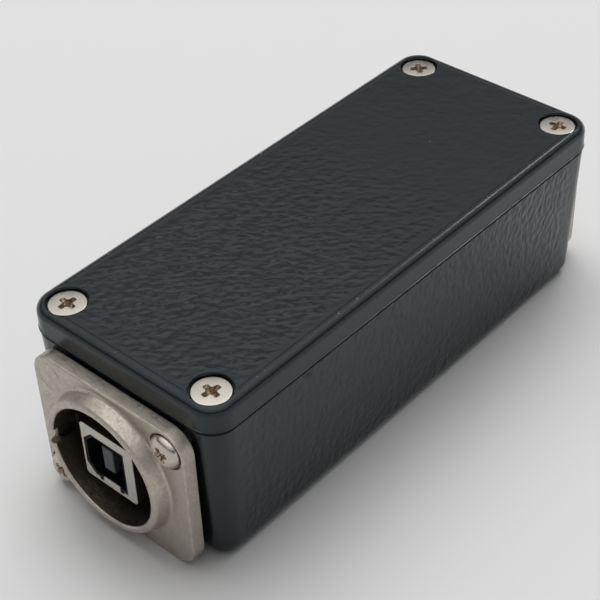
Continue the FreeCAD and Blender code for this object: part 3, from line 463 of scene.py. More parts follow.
# %% Nickel finishes
def plated(name, bright, stained, rough, sand_depth, sand_size=0.16, stain_share=0.5,
           sparkle=0.16, pitted=0.12, stain_size=3.5, speckle=0.3):
    material, tree, shader, place = start_material(name)
    sand = use_group(tree, cast_sand, place, Size=sand_size)
    cloud = clouds(tree, place, stain_size, 2.0)
    pits = use_group(tree, dust_scatter, place, Spacing=2.3, Radius=0.14, Share=pitted)["Mask"]
    stain = add_share(tree, cloud, stain_share, -speckle / 2)
    stain = add_share(tree, sand["Height"], speckle, stain, clamp=True)
    stain = math_node(tree, "MAXIMUM", stain, times(tree, pits, 0.6))
    shine = add_share(tree, sand["Sparkle"], -sparkle, rough + sparkle / 2)
    height = add_share(tree, pits, -0.7, sand["Height"])
    plug(tree, shader, {
        "Base Color": mix_colour(tree, stain, bright, stained), "Metallic": 1.0,
        "Roughness": add_share(tree, cloud, 0.06, shine),
        "Normal": bump(tree, height, sand_depth),
    })
    return material


housing_nickel = plated("nickel on zinc", (0.53, 0.49, 0.43), (0.33, 0.295, 0.245),
                        rough=0.43, sand_depth=0.018, sand_size=0.34, sparkle=0.28,
                        pitted=0.015, stain_size=1.7, speckle=1.1)
# Darker brown for the bore, the notch and the port shell's sides: partly stain, partly painted
# shade.
bore_stain_and_shade = plated("nickel in the bore, stained and painted with shade", (0.210, 0.175, 0.140),
                     (0.085, 0.062, 0.046), rough=0.42, sand_depth=0.05, sand_size=0.3)
screw_nickel = plated("nickel on steel", (0.76, 0.71, 0.63), (0.56, 0.51, 0.43),
                      rough=0.26, sand_depth=0.006, sand_size=0.35, stain_share=0.35,
                      sparkle=0.10, pitted=0.05)
dull_screw = plated("worn nickel on steel", (0.64, 0.595, 0.52), (0.38, 0.335, 0.28),
                    rough=0.24, sand_depth=0.03, sand_size=0.45, stain_share=0.7)
port_nickel = plated("nickel on the port", (0.55, 0.53, 0.485), (0.40, 0.375, 0.32),
                     rough=0.44, sand_depth=0.010, sand_size=0.2, stain_share=0.3)
tin_plate = plated("tin plate", (0.72, 0.72, 0.72), (0.55, 0.55, 0.56),
                   rough=0.28, sand_depth=0.004, sand_size=0.5, stain_share=0.3)
gold_plate = plated("gold plate", (0.85, 0.62, 0.27), (0.70, 0.48, 0.20),
                    rough=0.25, sand_depth=0.003, sand_size=0.3, stain_share=0.3)
silver_plate = plated("silver plate", (0.78, 0.76, 0.70), (0.55, 0.50, 0.42),
                      rough=0.22, sand_depth=0.003, sand_size=0.4, stain_share=0.4)
print("metals:", [m.name for m in bpy.data.materials])

# %% [markdown]
# Old grease and tarnish sit in the cross of each screw. That brown is its own finish, given only
# to the faces inside the cross.

# %% Tarnish in a screw's cross
tarnish, tree, shader, place = start_material("tarnish in a cross")
cloud = clouds(tree, place, 0.8, 2.6)
plug(tree, shader, {
    "Base Color": mix_colour(tree, cloud, (0.16, 0.100, 0.055), (0.62, 0.52, 0.39)),
    "Roughness": add_share(tree, cloud, -0.3, 0.5), "Normal": bump(tree, cloud, 0.12),
    "Metallic": 0.75,
})

# %% [markdown]
# ## Mouldings, rubber and the parts inside
# Moulded plastic has a faint spark-eroded skin. One recipe makes them all, with the colour, the
# gloss and the grain of each.

# %% Moulded plastics
def moulded(name, colour, second, rough, grain_depth, grain_size=0.12, specular=0.5):
    material, tree, shader, place = start_material(name)
    cloud = clouds(tree, place, 2.5, 1.4)
    skin = use_group(tree, cast_sand, place, Size=grain_size)["Height"]
    plug(tree, shader, {
        "Base Color": mix_colour(tree, cloud, colour, second),
        "Roughness": add_share(tree, cloud, 0.08, rough),
        "Normal": bump(tree, skin, grain_depth), "Specular IOR Level": specular,
    })
    return material


black_moulding = moulded("black moulding", (0.0035, 0.0040, 0.0055), (0.007, 0.008, 0.010),
                         rough=0.45, grain_depth=0.006, specular=0.06)
tongue_moulding = moulded("grey tongue", (0.035, 0.040, 0.048), (0.055, 0.060, 0.068),
                          rough=0.30, grain_depth=0.004)
gasket_rubber = moulded("black rubber", (0.008, 0.008, 0.009), (0.014, 0.014, 0.015),
                        rough=0.75, grain_depth=0.02, grain_size=0.25)
white_moulding = moulded("natural moulding", (0.70, 0.67, 0.60), (0.62, 0.59, 0.52),
                         rough=0.38, grain_depth=0.005)
nylon = moulded("nylon", (0.74, 0.73, 0.68), (0.66, 0.65, 0.60), rough=0.45,
                grain_depth=0.004)
film_box = moulded("film capacitor box", (0.45, 0.055, 0.03), (0.52, 0.08, 0.045),
                   rough=0.28, grain_depth=0.003)
lead_jacket = moulded("lead jacket", (0.02, 0.02, 0.02), (0.03, 0.03, 0.03), rough=0.5,
                      grain_depth=0.006)
wire_red = moulded("red insulation", (0.42, 0.012, 0.012), (0.50, 0.02, 0.018), rough=0.35,
                   grain_depth=0.002)
wire_white = moulded("white insulation", (0.70, 0.69, 0.65), (0.62, 0.60, 0.55), rough=0.35,
                     grain_depth=0.002)
wire_black = moulded("black insulation", (0.015, 0.015, 0.015), (0.03, 0.03, 0.03),
                     rough=0.35, grain_depth=0.002)
winding_tape = moulded("winding tape", (0.62, 0.42, 0.06), (0.70, 0.50, 0.10), rough=0.3,
                       grain_depth=0.004, grain_size=0.4)

# %% [markdown]
# ## The table and the light
# A plain pale table top runs far out on every side, so that a low view still ends in something
# pale. One large soft lamp hangs over the far left, which makes the table brighter on that side
# and lays a soft shadow to the right. Shiny surfaces don't show it, or each grain would sparkle. A
# small second lamp, behind, is there only for shiny surfaces: it draws the thin bright line along
# a rounded edge. The surroundings are a studio: pale near the horizon, dark above it, grey higher
# up and bright overhead, and a shiny surface shows exactly that.

# %% Table top
floor_shape = bmesh.new()
bmesh.ops.create_grid(floor_shape, x_segments=1, y_segments=1, size=14.0)
table = as_object(floor_shape, "table_top")

table_finish, tree, shader, place = start_material("pale table top")
cloud = clouds(tree, place, 160.0, 1.0)
paper = use_group(tree, cast_sand, place, Size=0.5)["Height"]
plug(tree, shader, {
    "Base Color": mix_colour(tree, cloud, (0.745, 0.745, 0.745), (0.765, 0.765, 0.765)),
    "Normal": bump(tree, paper, 0.01), "Roughness": 0.75,
})
table.data.materials.append(table_finish)

# %% Lamp
def soft_lamp(name, place, size, power):
    """A square soft lamp at a place in metres, aimed at the origin."""
    lamp = in_scene(name, bpy.data.lights.new(name, "AREA"))
    lamp.data.shape = "SQUARE"
    lamp.data.size = size
    lamp.data.energy = power
    turn = (-Vector(place)).to_track_quat("-Z", "Y")
    lamp.matrix_world = Matrix.Translation(place) @ turn.to_matrix().to_4x4()
    return lamp


key_lamp = soft_lamp("key_lamp", (-0.60, 0.65, 1.80), 2.1, 40.5)
key_lamp.visible_glossy = False
glint_lamp = soft_lamp("glint_lamp", (-0.04, 0.60, 0.63), 0.12, 0.36)
glint_lamp.visible_diffuse = False

# %% Surroundings
world = bpy.data.worlds.new("studio")
bpy.context.scene.world = world
world.use_nodes = True
sky = world.node_tree
sky.nodes.clear()
direction = add(sky, "TexCoord").outputs["Generated"]
ramp = add(sky, "ValToRGB", {0: coordinate(sky, direction, 2)})
ramp.color_ramp.interpolation = "EASE"
tones = ((0.0, 0.86), (0.18, 0.80), (0.27, 0.05), (0.45, 0.12), (0.58, 0.56), (0.68, 0.80),
         (0.78, 1.0), (0.90, 1.4), (1.0, 1.4))
for place_on_ramp, tone in tones[1:-1]:
    ramp.color_ramp.elements.new(place_on_ramp)
for element, (place_on_ramp, tone) in zip(ramp.color_ramp.elements, tones):
    element.position = place_on_ramp
    element.color = (tone, tone, tone, 1.0)
rays = add(sky, "LightPath").outputs
seen = math_node(sky, "ADD", rays["Is Camera Ray"], rays["Is Glossy Ray"])
seen = math_node(sky, "ADD", seen, rays["Is Transmission Ray"], clamp=True)
background = add(sky, "Background", {"Color": ramp.outputs[0],
                                     "Strength": add_share(sky, seen, 0.65, 0.35)})
add(sky, "OutputWorld", {"Surface": background.outputs[0]})
bpy.context.scene.view_settings.view_transform = "Standard"

# %% [markdown]
# ## Shaping in millimetres
# The pieces below are cast, turned or moulded, and three moves make nearly all of them: a block
# whose edges are rounded, an outline spun round an axis, and one shape cut out of another. The
# rounds matter most. No real edge is perfectly sharp, and the thin line of light along a rounded
# edge is what makes a small object look like metal or paint.

# %% Blocks and rounded edges
def block(low, high):
    """A box between two corners."""
    shape = bmesh.new()
    bmesh.ops.create_cube(shape, size=1.0)
    low = Vector(low)
    high = Vector(high)
    bmesh.ops.scale(shape, vec=high - low, verts=shape.verts)
    bmesh.ops.translate(shape, vec=(low + high) / 2, verts=shape.verts)
    return shape


def corners(half_x, half_y, low, high, x=0.0, y=0.0):
    """The two corners of a box that stands evenly round a point."""
    return (x - half_x, y - half_y, low), (x + half_x, y + half_y, high)


def round_edges(shape, edges, radius, steps):
    bmesh.ops.bevel(shape, geom=edges, offset=radius, offset_type="OFFSET", segments=steps,
                    profile=0.5, affect="EDGES", material=-1)


def upright_edges(shape):
    """The edges that stand up along Z."""
    return [e for e in shape.edges if (e.verts[0].co.xy - e.verts[1].co.xy).length < 0.001]


def level_edges(shape, z):
    """The edges that lie at one height."""
    return [e for e in shape.edges if all(abs(v.co.z - z) < 0.002 for v in e.verts)]


def slab(low, high, corner, top_round=0.0, bottom_round=0.0, steps=10):
    """A block with round upright corners, and round edges above and below where asked."""
    shape = block(low, high)
    round_edges(shape, upright_edges(shape), corner, steps)
    if top_round:
        round_edges(shape, level_edges(shape, high[2]), top_round, 8)
    if bottom_round:
        round_edges(shape, level_edges(shape, low[2]), bottom_round, 3)
    return shape


# %% Turned shapes
def turned(outline, steps=96):
    """Spins a chain of (radius, height) points once round the Z axis."""
    shape = bmesh.new()
    verts = [shape.verts.new((radius, 0.0, z)) for radius, z in outline]
    edges = [shape.edges.new(pair) for pair in zip(verts, verts[1:])]
    bmesh.ops.spin(shape, geom=verts + edges, cent=(0, 0, 0), axis=(0, 0, 1), dvec=(0, 0, 0),
                   angle=2 * math.pi, steps=steps, use_merge=True)
    bmesh.ops.remove_doubles(shape, verts=shape.verts, dist=0.0001)
    bmesh.ops.recalc_face_normals(shape, faces=shape.faces)
    return shape


def cylinder(radius, low, high, steps=96):
    return turned([(0, low), (radius, low), (radius, high), (0, high)], steps)


def ring(shape, radius, z):
    """The edges that run round the axis at one radius and height."""
    return [e for e in shape.edges
            if all(abs(v.co.xy.length - radius) < 0.01 and abs(v.co.z - z) < 0.01
                   for v in e.verts)]


def moved(shape, matrix):
    bmesh.ops.transform(shape, matrix=matrix, verts=shape.verts)
    return shape


def shifted(shape, x=0.0, y=0.0, z=0.0):
    return moved(shape, Matrix.Translation((x, y, z)))


# %% Cutting and joining
def gathered(*shapes):
    """Several shapes in one, each left whole."""
    result = bmesh.new()
    for shape in shapes:
        mesh = bpy.data.meshes.new("part")
        shape.to_mesh(mesh)
        shape.free()
        result.from_mesh(mesh)
        bpy.data.meshes.remove(mesh)
    return result


def carved(shape, tool, operation="DIFFERENCE"):
    """Cuts one closed shape out of another, or joins the two, and gives back a new shape."""
    base = as_object(shape, "base")
    other = as_object(tool, "tool")
    cut = base.modifiers.new("cut", "BOOLEAN")
    cut.operation = operation
    cut.solver = "EXACT"
    cut.object = other
    depsgraph = bpy.context.evaluated_depsgraph_get()
    mesh = bpy.data.meshes.new_from_object(base.evaluated_get(depsgraph))
    result = bmesh.new()
    result.from_mesh(mesh)
    used = [base.data, other.data, mesh]
    bpy.data.objects.remove(base)
    bpy.data.objects.remove(other)
    for left in used:
        bpy.data.meshes.remove(left)
    return result


# %% The step that finishes a piece
SHARP_ANGLE = 38.0


def finish_piece(shape, name, body, finishes, replaced):
    """Merges, scales to metres, smooths up to the sharp angle, dresses and hangs on a body."""
    bmesh.ops.remove_doubles(shape, verts=shape.verts, dist=0.0004)
    bmesh.ops.dissolve_degenerate(shape, dist=0.0004, edges=shape.edges)
    bmesh.ops.recalc_face_normals(shape, faces=shape.faces)
    bmesh.ops.scale(shape, vec=(MM, MM, MM), verts=shape.verts)
    piece = as_object(shape, name)
    for finish in finishes:
        piece.data.materials.append(finish)
    piece.data.shade_smooth()
    piece.data.set_sharp_from_angle(angle=math.radians(SHARP_ANGLE))
    even = piece.modifiers.new("even shading", "WEIGHTED_NORMAL")
    even.keep_sharp = True
    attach(piece, body)
    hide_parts(*replaced)
    print(name, len(piece.data.polygons), "faces, rides on", body)
    return piece


# %% [markdown]
# ## The lid
# The lid is a shallow tray, cast with round corners and then sprayed. Powder coat creeps back from
# an edge while it bakes and piles up in a low bead just inside it, so the border of the top stands
# a hair above the field. The screws sit in four round recesses whose mouths the coat has softened.
# A block with rounded edges gives the outside, two insets in the top face draw the bead, and the
# recesses are cut with a turned tool that flares out at the mouth. The same creeping leaves a thin
# lip round the lower edge: everything above it is drawn in by a tenth of a millimetre. Below the
# lip a narrow step leaves the dark line that parts the lid from the body.

# %% Outside of the lid
LID_CORNER = 4.2
LID_EDGE = 1.35
BEAD_WIDTH = 0.24
BEAD_HEIGHT = 0.055
GAP_HEIGHT = 0.32
GAP_DEPTH = 0.7
LIP_HEIGHT = 0.62
LIP_SLOPE = 0.16
LIP_WIDTH = 0.09
top_z = lid_high.z
lid = slab((lid_low.x, lid_low.y, parting_z), lid_high, LID_CORNER, LID_EDGE, steps=14)
for height in (parting_z + LIP_HEIGHT - LIP_SLOPE, parting_z + LIP_HEIGHT):
    bmesh.ops.bisect_plane(lid, geom=lid.verts[:] + lid.edges[:] + lid.faces[:],
                           plane_co=(0, 0, height), plane_no=(0, 0, 1))
above_lip = [v for v in lid.verts if v.co.z > parting_z + LIP_HEIGHT - 0.01]
drawn_in = (1 - LIP_WIDTH / lid_high.x, 1 - LIP_WIDTH / lid_high.y, 1.0)
bmesh.ops.scale(lid, vec=drawn_in, verts=above_lip)
print("the lip stands", LIP_WIDTH, "mm proud of the band above it")
field = max(lid.faces, key=lambda face: face.calc_center_median().z)
for _ in range(2):
    bmesh.ops.inset_region(lid, faces=[field], thickness=BEAD_WIDTH, depth=0.0)
bmesh.ops.translate(lid, vec=(0, 0, -BEAD_HEIGHT), verts=field.verts)
field_z = top_z - BEAD_HEIGHT
print("bead stands", BEAD_HEIGHT, "mm above the field")

# %% Recesses and bores for the screws
screw_boxes = {node: node_box(node) for node in lid_screws}
screw_spots = {node: (low + high) / 2 for node, (low, high) in screw_boxes.items()}
head_top_z = max(high.z for low, high in screw_boxes.values())
HEAD_EDGE = 0.35
seat_z = head_top_z - HEAD_EDGE
HEAD_RADIUS = 3.0
SHANK_RADIUS = 1.5
BORE_RADIUS = 1.56
RECESS_RADIUS = 3.24
MOUTH_ROUND = 0.22
# A flared mouth starts this far above its face, so that the two never lie in one plane.
HAIR = 0.006


def screw_hole_tool():
    """The room for one countersunk screw, flared where it meets the top of the lid."""
    wide = HEAD_RADIUS + 0.05
    cone_z = seat_z - (wide - BORE_RADIUS)
    mouth_z = field_z + HAIR
    tool = turned([(0, parting_z - 3), (BORE_RADIUS, parting_z - 3), (BORE_RADIUS, cone_z),
                   (wide, seat_z), (RECESS_RADIUS, seat_z), (RECESS_RADIUS, mouth_z),
                   (RECESS_RADIUS + 0.9, mouth_z), (RECESS_RADIUS + 0.9, top_z + 2),
                   (0, top_z + 2)])
    round_edges(tool, ring(tool, RECESS_RADIUS, mouth_z), MOUTH_ROUND, 4)
    return tool


# %% The underside: a pocket round four bosses, and ribs that reach down inside the body
LID_WALL = 3.35
LID_PLATE = 2.2
RIB_HALF_X = 16.9
RIB_HALF_Y = 43.9
LONG_RIB_HALF = 36.5
SHORT_RIB_HALF = 9.45
RIB_HALF_WALL = 0.5
BOSS_RADIUS = 4.0
under_z = top_z - LID_PLATE
pocket = slab((lid_low.x + LID_WALL, lid_low.y + LID_WALL, parting_z - 1),
              (lid_high.x - LID_WALL, lid_high.y - LID_WALL, under_z), 1.0, top_round=0.5, steps=6)
for spot in screw_spots.values():
    boss = cylinder(BOSS_RADIUS, parting_z - 2, under_z + 1)
    pocket = carved(pocket, shifted(boss, spot.x, spot.y))
lid = carved(lid, pocket)


def rib(half_x, half_y):
    """A rib that reaches from the plate down inside the body, with a blunt foot."""
    bar = block(*corners(half_x, half_y, lid_low.z, under_z + 0.3))
    round_edges(bar, level_edges(bar, lid_low.z), 0.25, 3)
    return bar


for side in (-1, 1):
    long_rib = shifted(rib(RIB_HALF_WALL, LONG_RIB_HALF), side * (RIB_HALF_X - RIB_HALF_WALL))
    lid = carved(lid, long_rib, "UNION")
    short_rib = shifted(rib(SHORT_RIB_HALF, RIB_HALF_WALL), y=side * (RIB_HALF_Y - RIB_HALF_WALL))
    lid = carved(lid, short_rib, "UNION")
for spot in screw_spots.values():
    lid = carved(lid, shifted(screw_hole_tool(), spot.x, spot.y))
gap = block((lid_low.x - 1, lid_low.y - 1, parting_z - 0.05),
            (lid_high.x + 1, lid_high.y + 1, parting_z + GAP_HEIGHT))
core = slab((lid_low.x + GAP_DEPTH, lid_low.y + GAP_DEPTH, parting_z - 1),
            (lid_high.x - GAP_DEPTH, lid_high.y - GAP_DEPTH, parting_z + 2),
            LID_CORNER - GAP_DEPTH, steps=14)
lid = carved(lid, carved(gap, core))
finish_piece(lid, "lid_shell", "lid", [coat_lid], ["enclosure_lid"])

# %% [markdown]
# ## Screws
# The lid screws are flat-headed with a cross cut in, and the housing screws have a low dome. A
# cross is punched, not milled: its arms narrow towards the foot, its inner corners are blunt, and
# the rim of each arm is slightly rounded. A bar that tapers downwards, laid both ways, with a cone
# in the middle, makes the tool for it. Each screw stopped at its own angle.

# %% Tool for the cross
def cross_tool(top, reach, width, depth, turn):
    """The punched cross, pointing down from the height top, turned by degrees."""
    arms = []
    for quarter in (0, 90):
        arm = block((-reach, -width / 2, -depth), (reach, width / 2, 0.6))
        for vert in arm.verts:
            if vert.co.z < 0:
                vert.co.x *= 0.40
                vert.co.y *= 0.50
            else:
                vert.co.x *= 1.10
                vert.co.y *= 1.06
        sides = [e for e in arm.edges if abs(e.verts[0].co.z - e.verts[1].co.z) > 0.1]
        round_edges(arm, sides, width * 0.22, 3)
        arms.append(moved(arm, Matrix.Rotation(math.radians(turn + quarter), 4, "Z")))
    middle_cone = turned([(0, -depth), (width * 0.45, -depth), (width * 0.95, 0.6), (0, 0.6)], 24)
    tool = carved(arms[0], arms[1], "UNION")
    tool = carved(tool, middle_cone, "UNION")
    return shifted(tool, z=top)


def mark_cross(shape, top, reach, depth):
    """Gives the faces inside a cross the second finish."""
    for face in shape.faces:
        centre = face.calc_center_median()
        inside = top - depth - 0.05 < centre.z < top - 0.04
        if inside and centre.xy.length < reach:
            face.material_index = 1


# %% Lid screws
lid_turns = {"front_right": -8.0, "front_left": -4.0, "back_left": 47.0, "back_right": 4.0}
CROSS_REACH = 1.78
CROSS_WIDTH = 1.10
CROSS_DEPTH = 1.15
for node, spot in screw_spots.items():
    corner = node.removeprefix("lid_screw_")
    tip_z = screw_boxes[node][0].z
    cone_z = seat_z - (HEAD_RADIUS - SHANK_RADIUS)
    screw = turned([(0, tip_z), (SHANK_RADIUS - 0.4, tip_z), (SHANK_RADIUS, tip_z + 0.4),
                    (SHANK_RADIUS, cone_z), (HEAD_RADIUS, seat_z), (HEAD_RADIUS, head_top_z),
                    (0, head_top_z)])
    round_edges(screw, ring(screw, HEAD_RADIUS, head_top_z), MOUTH_ROUND, 4)
    screw = carved(screw, cross_tool(head_top_z, CROSS_REACH, CROSS_WIDTH, CROSS_DEPTH,
                                     lid_turns[corner]))
    mark_cross(screw, head_top_z, 2.3, CROSS_DEPTH)
    finish_piece(shifted(screw, spot.x, spot.y), node + "_visual", node + "_body",
                 [screw_nickel, tarnish], [node])

# %% [markdown]
# ## Connector housings
# Each end carries the same kind of zinc casting: a flange with two screws on a diagonal, and a
# collar that a plug's latch holds on to. It is easiest to shape lying on its back, with the
# outside looking up, and then to stand it up at the end of the case. The edges are generous,
# because molten zinc doesn't fill a sharp corner and the plating rounds it more. The collar is a
# turned shape, and a small fillet runs round its root, where the mould's corner was.

# %% Sizes of a housing, with z pointing out of the case
COLLAR_HEIGHT = 2.5
FLANGE_THICKNESS = 2.4
rim_z = -front_low.y
flange_face = rim_z - COLLAR_HEIGHT
flange_back = flange_face - FLANGE_THICKNESS
flange_half_x = front_high.x
flange_half_z = (front_high.z - front_low.z) / 2
BARREL_RADIUS = 11.0
COLLAR_FOOT = 12.05
COLLAR_RIM = 11.4
FLANGE_CORNER = 3.8
SEAT_RADIUS = 3.0
SEAT_DEPTH = 0.7
CAST_RING_RADIUS = 2.45
ROOT_FILLET = 0.38
RIM_ROUND = 0.52
BORE_ROUND = 0.42
HOUSING_SCREWS = ((12.0, 9.5), (-12.0, -9.5))
CAST_RINGS = ((-12.0, 9.5), (12.0, -9.5))
NOTCH_WIDTH = 2.8
NOTCH_DEPTH = 1.6
SLOT_DEPTH = 5.0
print(f"flange {flange_half_x * 2:.1f} x {flange_half_z * 2:.1f}, face at {flange_face:.2f}")


def to_front(shape):
    """Stands a shape up at the front of the case: its z becomes -Y and its y becomes Z."""
    stand = Matrix.Translation((0, 0, axis_z)) @ Matrix.Rotation(math.radians(90), 4, "X")
    return moved(shape, stand)


def to_back(shape):
    return moved(to_front(shape), Matrix.Rotation(math.radians(180), 4, "Z"))


# %% The flange: seats for two screws, faint cast rings in the other corners
def seat_tool(radius, bottom, mouth, widening):
    wide = radius + widening + 0.3
    tool = turned([(0, flange_back - 1), (BORE_RADIUS, flange_back - 1), (BORE_RADIUS, bottom),
                   (radius, bottom), (radius, mouth), (wide, mouth), (wide, mouth + 3),
                   (0, mouth + 3)], 64)
    round_edges(tool, ring(tool, radius, mouth), widening, 4)
    return tool


def groove_tool(radius, width, depth):
    """A shallow groove that runs round a circle, with sloping sides."""
    face = flange_face
    return turned([(radius - width, face + 0.01), (radius - width * 0.4, face - depth),
                   (radius + width * 0.4, face - depth), (radius + width, face + 0.01),
                   (radius + width, face + 1), (radius - width, face + 1),
                   (radius - width, face + 0.01)], 64)


def flange_plate():
    plate = slab(*corners(flange_half_x, flange_half_z, flange_back, flange_face),
                 FLANGE_CORNER, 0.30, 0.2, steps=12)
    for x, y in HOUSING_SCREWS:
        seat = seat_tool(SEAT_RADIUS, flange_face - SEAT_DEPTH, flange_face + HAIR, MOUTH_ROUND)
        plate = carved(plate, shifted(seat, x, y))
    for x, y in CAST_RINGS:
        plate = carved(plate, shifted(groove_tool(CAST_RING_RADIUS, 0.2, 0.06), x, y))
    return plate


# %% The collar, the barrel behind it and the latch's notch
def collar_and_barrel(barrel_end):
    root_z = flange_face + HAIR
    solid = turned([(0, barrel_end), (BARREL_RADIUS, barrel_end),
                    (BARREL_RADIUS, flange_face - 1.2), (12.6, flange_face - 1.2), (12.6, root_z),
                    (COLLAR_FOOT, root_z), (COLLAR_RIM, rim_z), (0, rim_z)], 128)
    round_edges(solid, ring(solid, COLLAR_FOOT, root_z), ROOT_FILLET, 4)
    round_edges(solid, ring(solid, COLLAR_RIM, rim_z), RIM_ROUND, 5)
    round_edges(solid, ring(solid, BARREL_RADIUS, barrel_end), 0.3, 2)
    return solid


def bore_tool(radius, bottom):
    """The bore, with a rounded mouth."""
    mouth = rim_z + HAIR
    tool = turned([(0, bottom), (radius, bottom), (radius, mouth), (radius + 0.8, mouth),
                   (radius + 0.8, mouth + 2), (0, mouth + 2)], 128)
    round_edges(tool, ring(tool, radius, mouth), BORE_ROUND, 5)
    return tool


def notch_tool(inner):
    """The latch's notch, cut from the rim on the -X side."""
    half = NOTCH_WIDTH / 2
    tool = block((-14.0, -half, rim_z - NOTCH_DEPTH), (-inner, half, rim_z + 2))
    corners = [e for e in level_edges(tool, rim_z - NOTCH_DEPTH)
               if abs(e.verts[0].co.y - e.verts[1].co.y) < 0.001]
    round_edges(tool, corners, 0.3, 3)
    slot = block((-11.1, -half, rim_z - SLOT_DEPTH), (-inner, half, rim_z + 2))
    return carved(tool, slot, "UNION")


def mark_bore(shape, radius, floor_z):
    """Gives the faces of the bore and of the notch the darker second finish: partly stain, partly
    painted shade.
    """
    for face in shape.faces:
        spot = face.calc_center_median()
        in_bore = max(v.co.xy.length for v in face.verts) < radius + 0.08 and floor_z < spot.z
        in_notch = spot.x < -radius and abs(spot.y) < NOTCH_WIDTH / 2 + 0.01
        in_notch = in_notch and rim_z - SLOT_DEPTH - 0.1 < spot.z < rim_z - 0.1
        in_notch = in_notch and spot.x > -11.9
        if in_bore or in_notch:
            face.material_index = 1


def bored_housing(barrel_end, radius, bore_bottom):
    """What the two housings share: a flange, a collar and a barrel, with a bore."""
    shape = carved(flange_plate(), collar_and_barrel(barrel_end), "UNION")
    return carved(shape, bore_tool(radius, bore_bottom))


# %% Front housing: the bore runs right through
USB_BORE_RADIUS = 10.2
usb_barrel_end = -front_high.y
usb_housing = bored_housing(usb_barrel_end, USB_BORE_RADIUS, usb_barrel_end - 2)
usb_housing = carved(usb_housing, notch_tool(5.1))
mark_bore(usb_housing, USB_BORE_RADIUS, usb_barrel_end + 0.1)
finish_piece(to_front(usb_housing), "usb_housing_visual", "case", [housing_nickel, bore_stain_and_shade],
             ["usb_housing"])

# %% Back housing: a cup with a floor, and the key that turns a plug the right way up
output_barrel_end = node_box("output_housing")[0].y
cup_floor = output_barrel_end + 2.0
OUTPUT_BORE_RADIUS = 9.8
OPENING_RADIUS = 7.8
output_housing = bored_housing(output_barrel_end, OUTPUT_BORE_RADIUS, cup_floor)
opening = cylinder(OPENING_RADIUS, output_barrel_end - 1, cup_floor + 1)
output_housing = carved(output_housing, opening)
key = block((9.1, -1.0, cup_floor - 0.5), (10.15, 1.0, flange_face))
round_edges(key, [e for e in key.edges if all(v.co.x < 9.2 for v in e.verts)], 0.3, 3)
output_housing = carved(output_housing, key, "UNION")
output_housing = carved(output_housing, notch_tool(4.9))
mark_bore(output_housing, OUTPUT_BORE_RADIUS, cup_floor - 0.1)
finish_piece(to_back(output_housing), "output_housing_visual", "case",
             [housing_nickel, bore_stain_and_shade], ["output_housing"])

# %% [markdown]
# The housing screws have a domed head. The dome is a straight-sided button whose top edge is
# rounded nearly to the middle, and the seat hides the lower part of it.

# %% Housing screws
DOME_RADIUS = 2.75
DOME_HEIGHT = 1.7
DOME_ROUND = 1.25
PAN_SCREW_LENGTH = 4.6
PAN_CROSS_REACH = 1.55
PAN_CROSS_WIDTH = 1.0
PAN_CROSS_DEPTH = 1.1


def pan_screw(turn):
    seat = flange_face - SEAT_DEPTH
    top = seat + DOME_HEIGHT
    tip = seat - PAN_SCREW_LENGTH
    screw = turned([(0, tip), (SHANK_RADIUS, tip), (SHANK_RADIUS, seat), (DOME_RADIUS, seat),
                    (DOME_RADIUS, top), (0, top)], 64)
    round_edges(screw, ring(screw, DOME_RADIUS, top), DOME_ROUND, 7)
    screw = carved(screw, cross_tool(top - 0.02, PAN_CROSS_REACH, PAN_CROSS_WIDTH,
                                     PAN_CROSS_DEPTH, turn))
    mark_cross(screw, top, PAN_CROSS_REACH + 0.35, PAN_CROSS_DEPTH)
    return screw


for standing, node in ((to_front, "usb_housing_screws"), (to_back, "output_housing_screws")):
    pair = [shifted(pan_screw(turn), x, y)
            for (x, y), turn in zip(HOUSING_SCREWS, (22.0, 51.0))]
    finish_piece(standing(gathered(*pair)), node + "_visual", "case", [dull_screw, tarnish],
                 [node])

# %% [markdown]
# A thin rubber gasket fills the wedge between the upright flange and the end wall, which leans in
# a millimetre towards the floor. Cut a little smaller than the flange, it hides in its shadow. It
# is a plate whose back face is tilted to the wall, with holes for the barrel and the screws.

# %% Gaskets
GASKET_INSET = 2.0
wall_out = -body_low.y
for standing, node in ((to_front, "usb_gasket"), (to_back, "output_gasket")):
    gasket = slab(*corners(flange_half_x - GASKET_INSET, flange_half_z - GASKET_INSET,
                           flange_back - 1.2, flange_back), 2.2, steps=8)
    for vert in gasket.verts:
        if vert.co.z < flange_back - 1.0:
            fallen = (parting_z - axis_z - vert.co.y) / parting_z
            vert.co.z = wall_out - WALL_LEAN * fallen + 0.01
    for radius, x, y in ((11.1, 0, 0), *((1.7, x, y) for x, y in HOUSING_SCREWS)):
        drill = cylinder(radius, flange_back - 4, flange_back + 1, 64)
        gasket = carved(gasket, shifted(drill, x, y))
    finish_piece(standing(gasket), node + "_visual", "case", [gasket_rubber], [node])

# %% [markdown]
# ## The USB port
# Inside the front collar stands a square port: a metal shell round a black moulding, with a
# tongue that carries the contacts. Two corners of the opening are cut off, so a plug only fits one
# way. The block is shaped lying on its back, as the housing was, and the opening is one tool.

# %% The opening's tool
port_low, port_high = node_box("usb_port_shell")
port_face = -port_low.y
port_back = -port_high.y
opening_x = -0.7
opening_y = -0.3
OPENING_HALF_X = 4.3
OPENING_HALF_Y = 4.15


def opening_tool(margin, z_low, z_high, chamfer=1.7, corner=0.0):
    """The plug's space with its two cut corners, drawn in by a margin."""
    tool = block(*corners(OPENING_HALF_X - margin, OPENING_HALF_Y - margin, z_low, z_high,
                          opening_x, opening_y))
    cut = [e for e in upright_edges(tool) if e.verts[0].co.x < opening_x]
    round_edges(tool, cut, chamfer, 1)
    if corner:
        round_edges(tool, upright_edges(tool), corner, 3)
    return tool


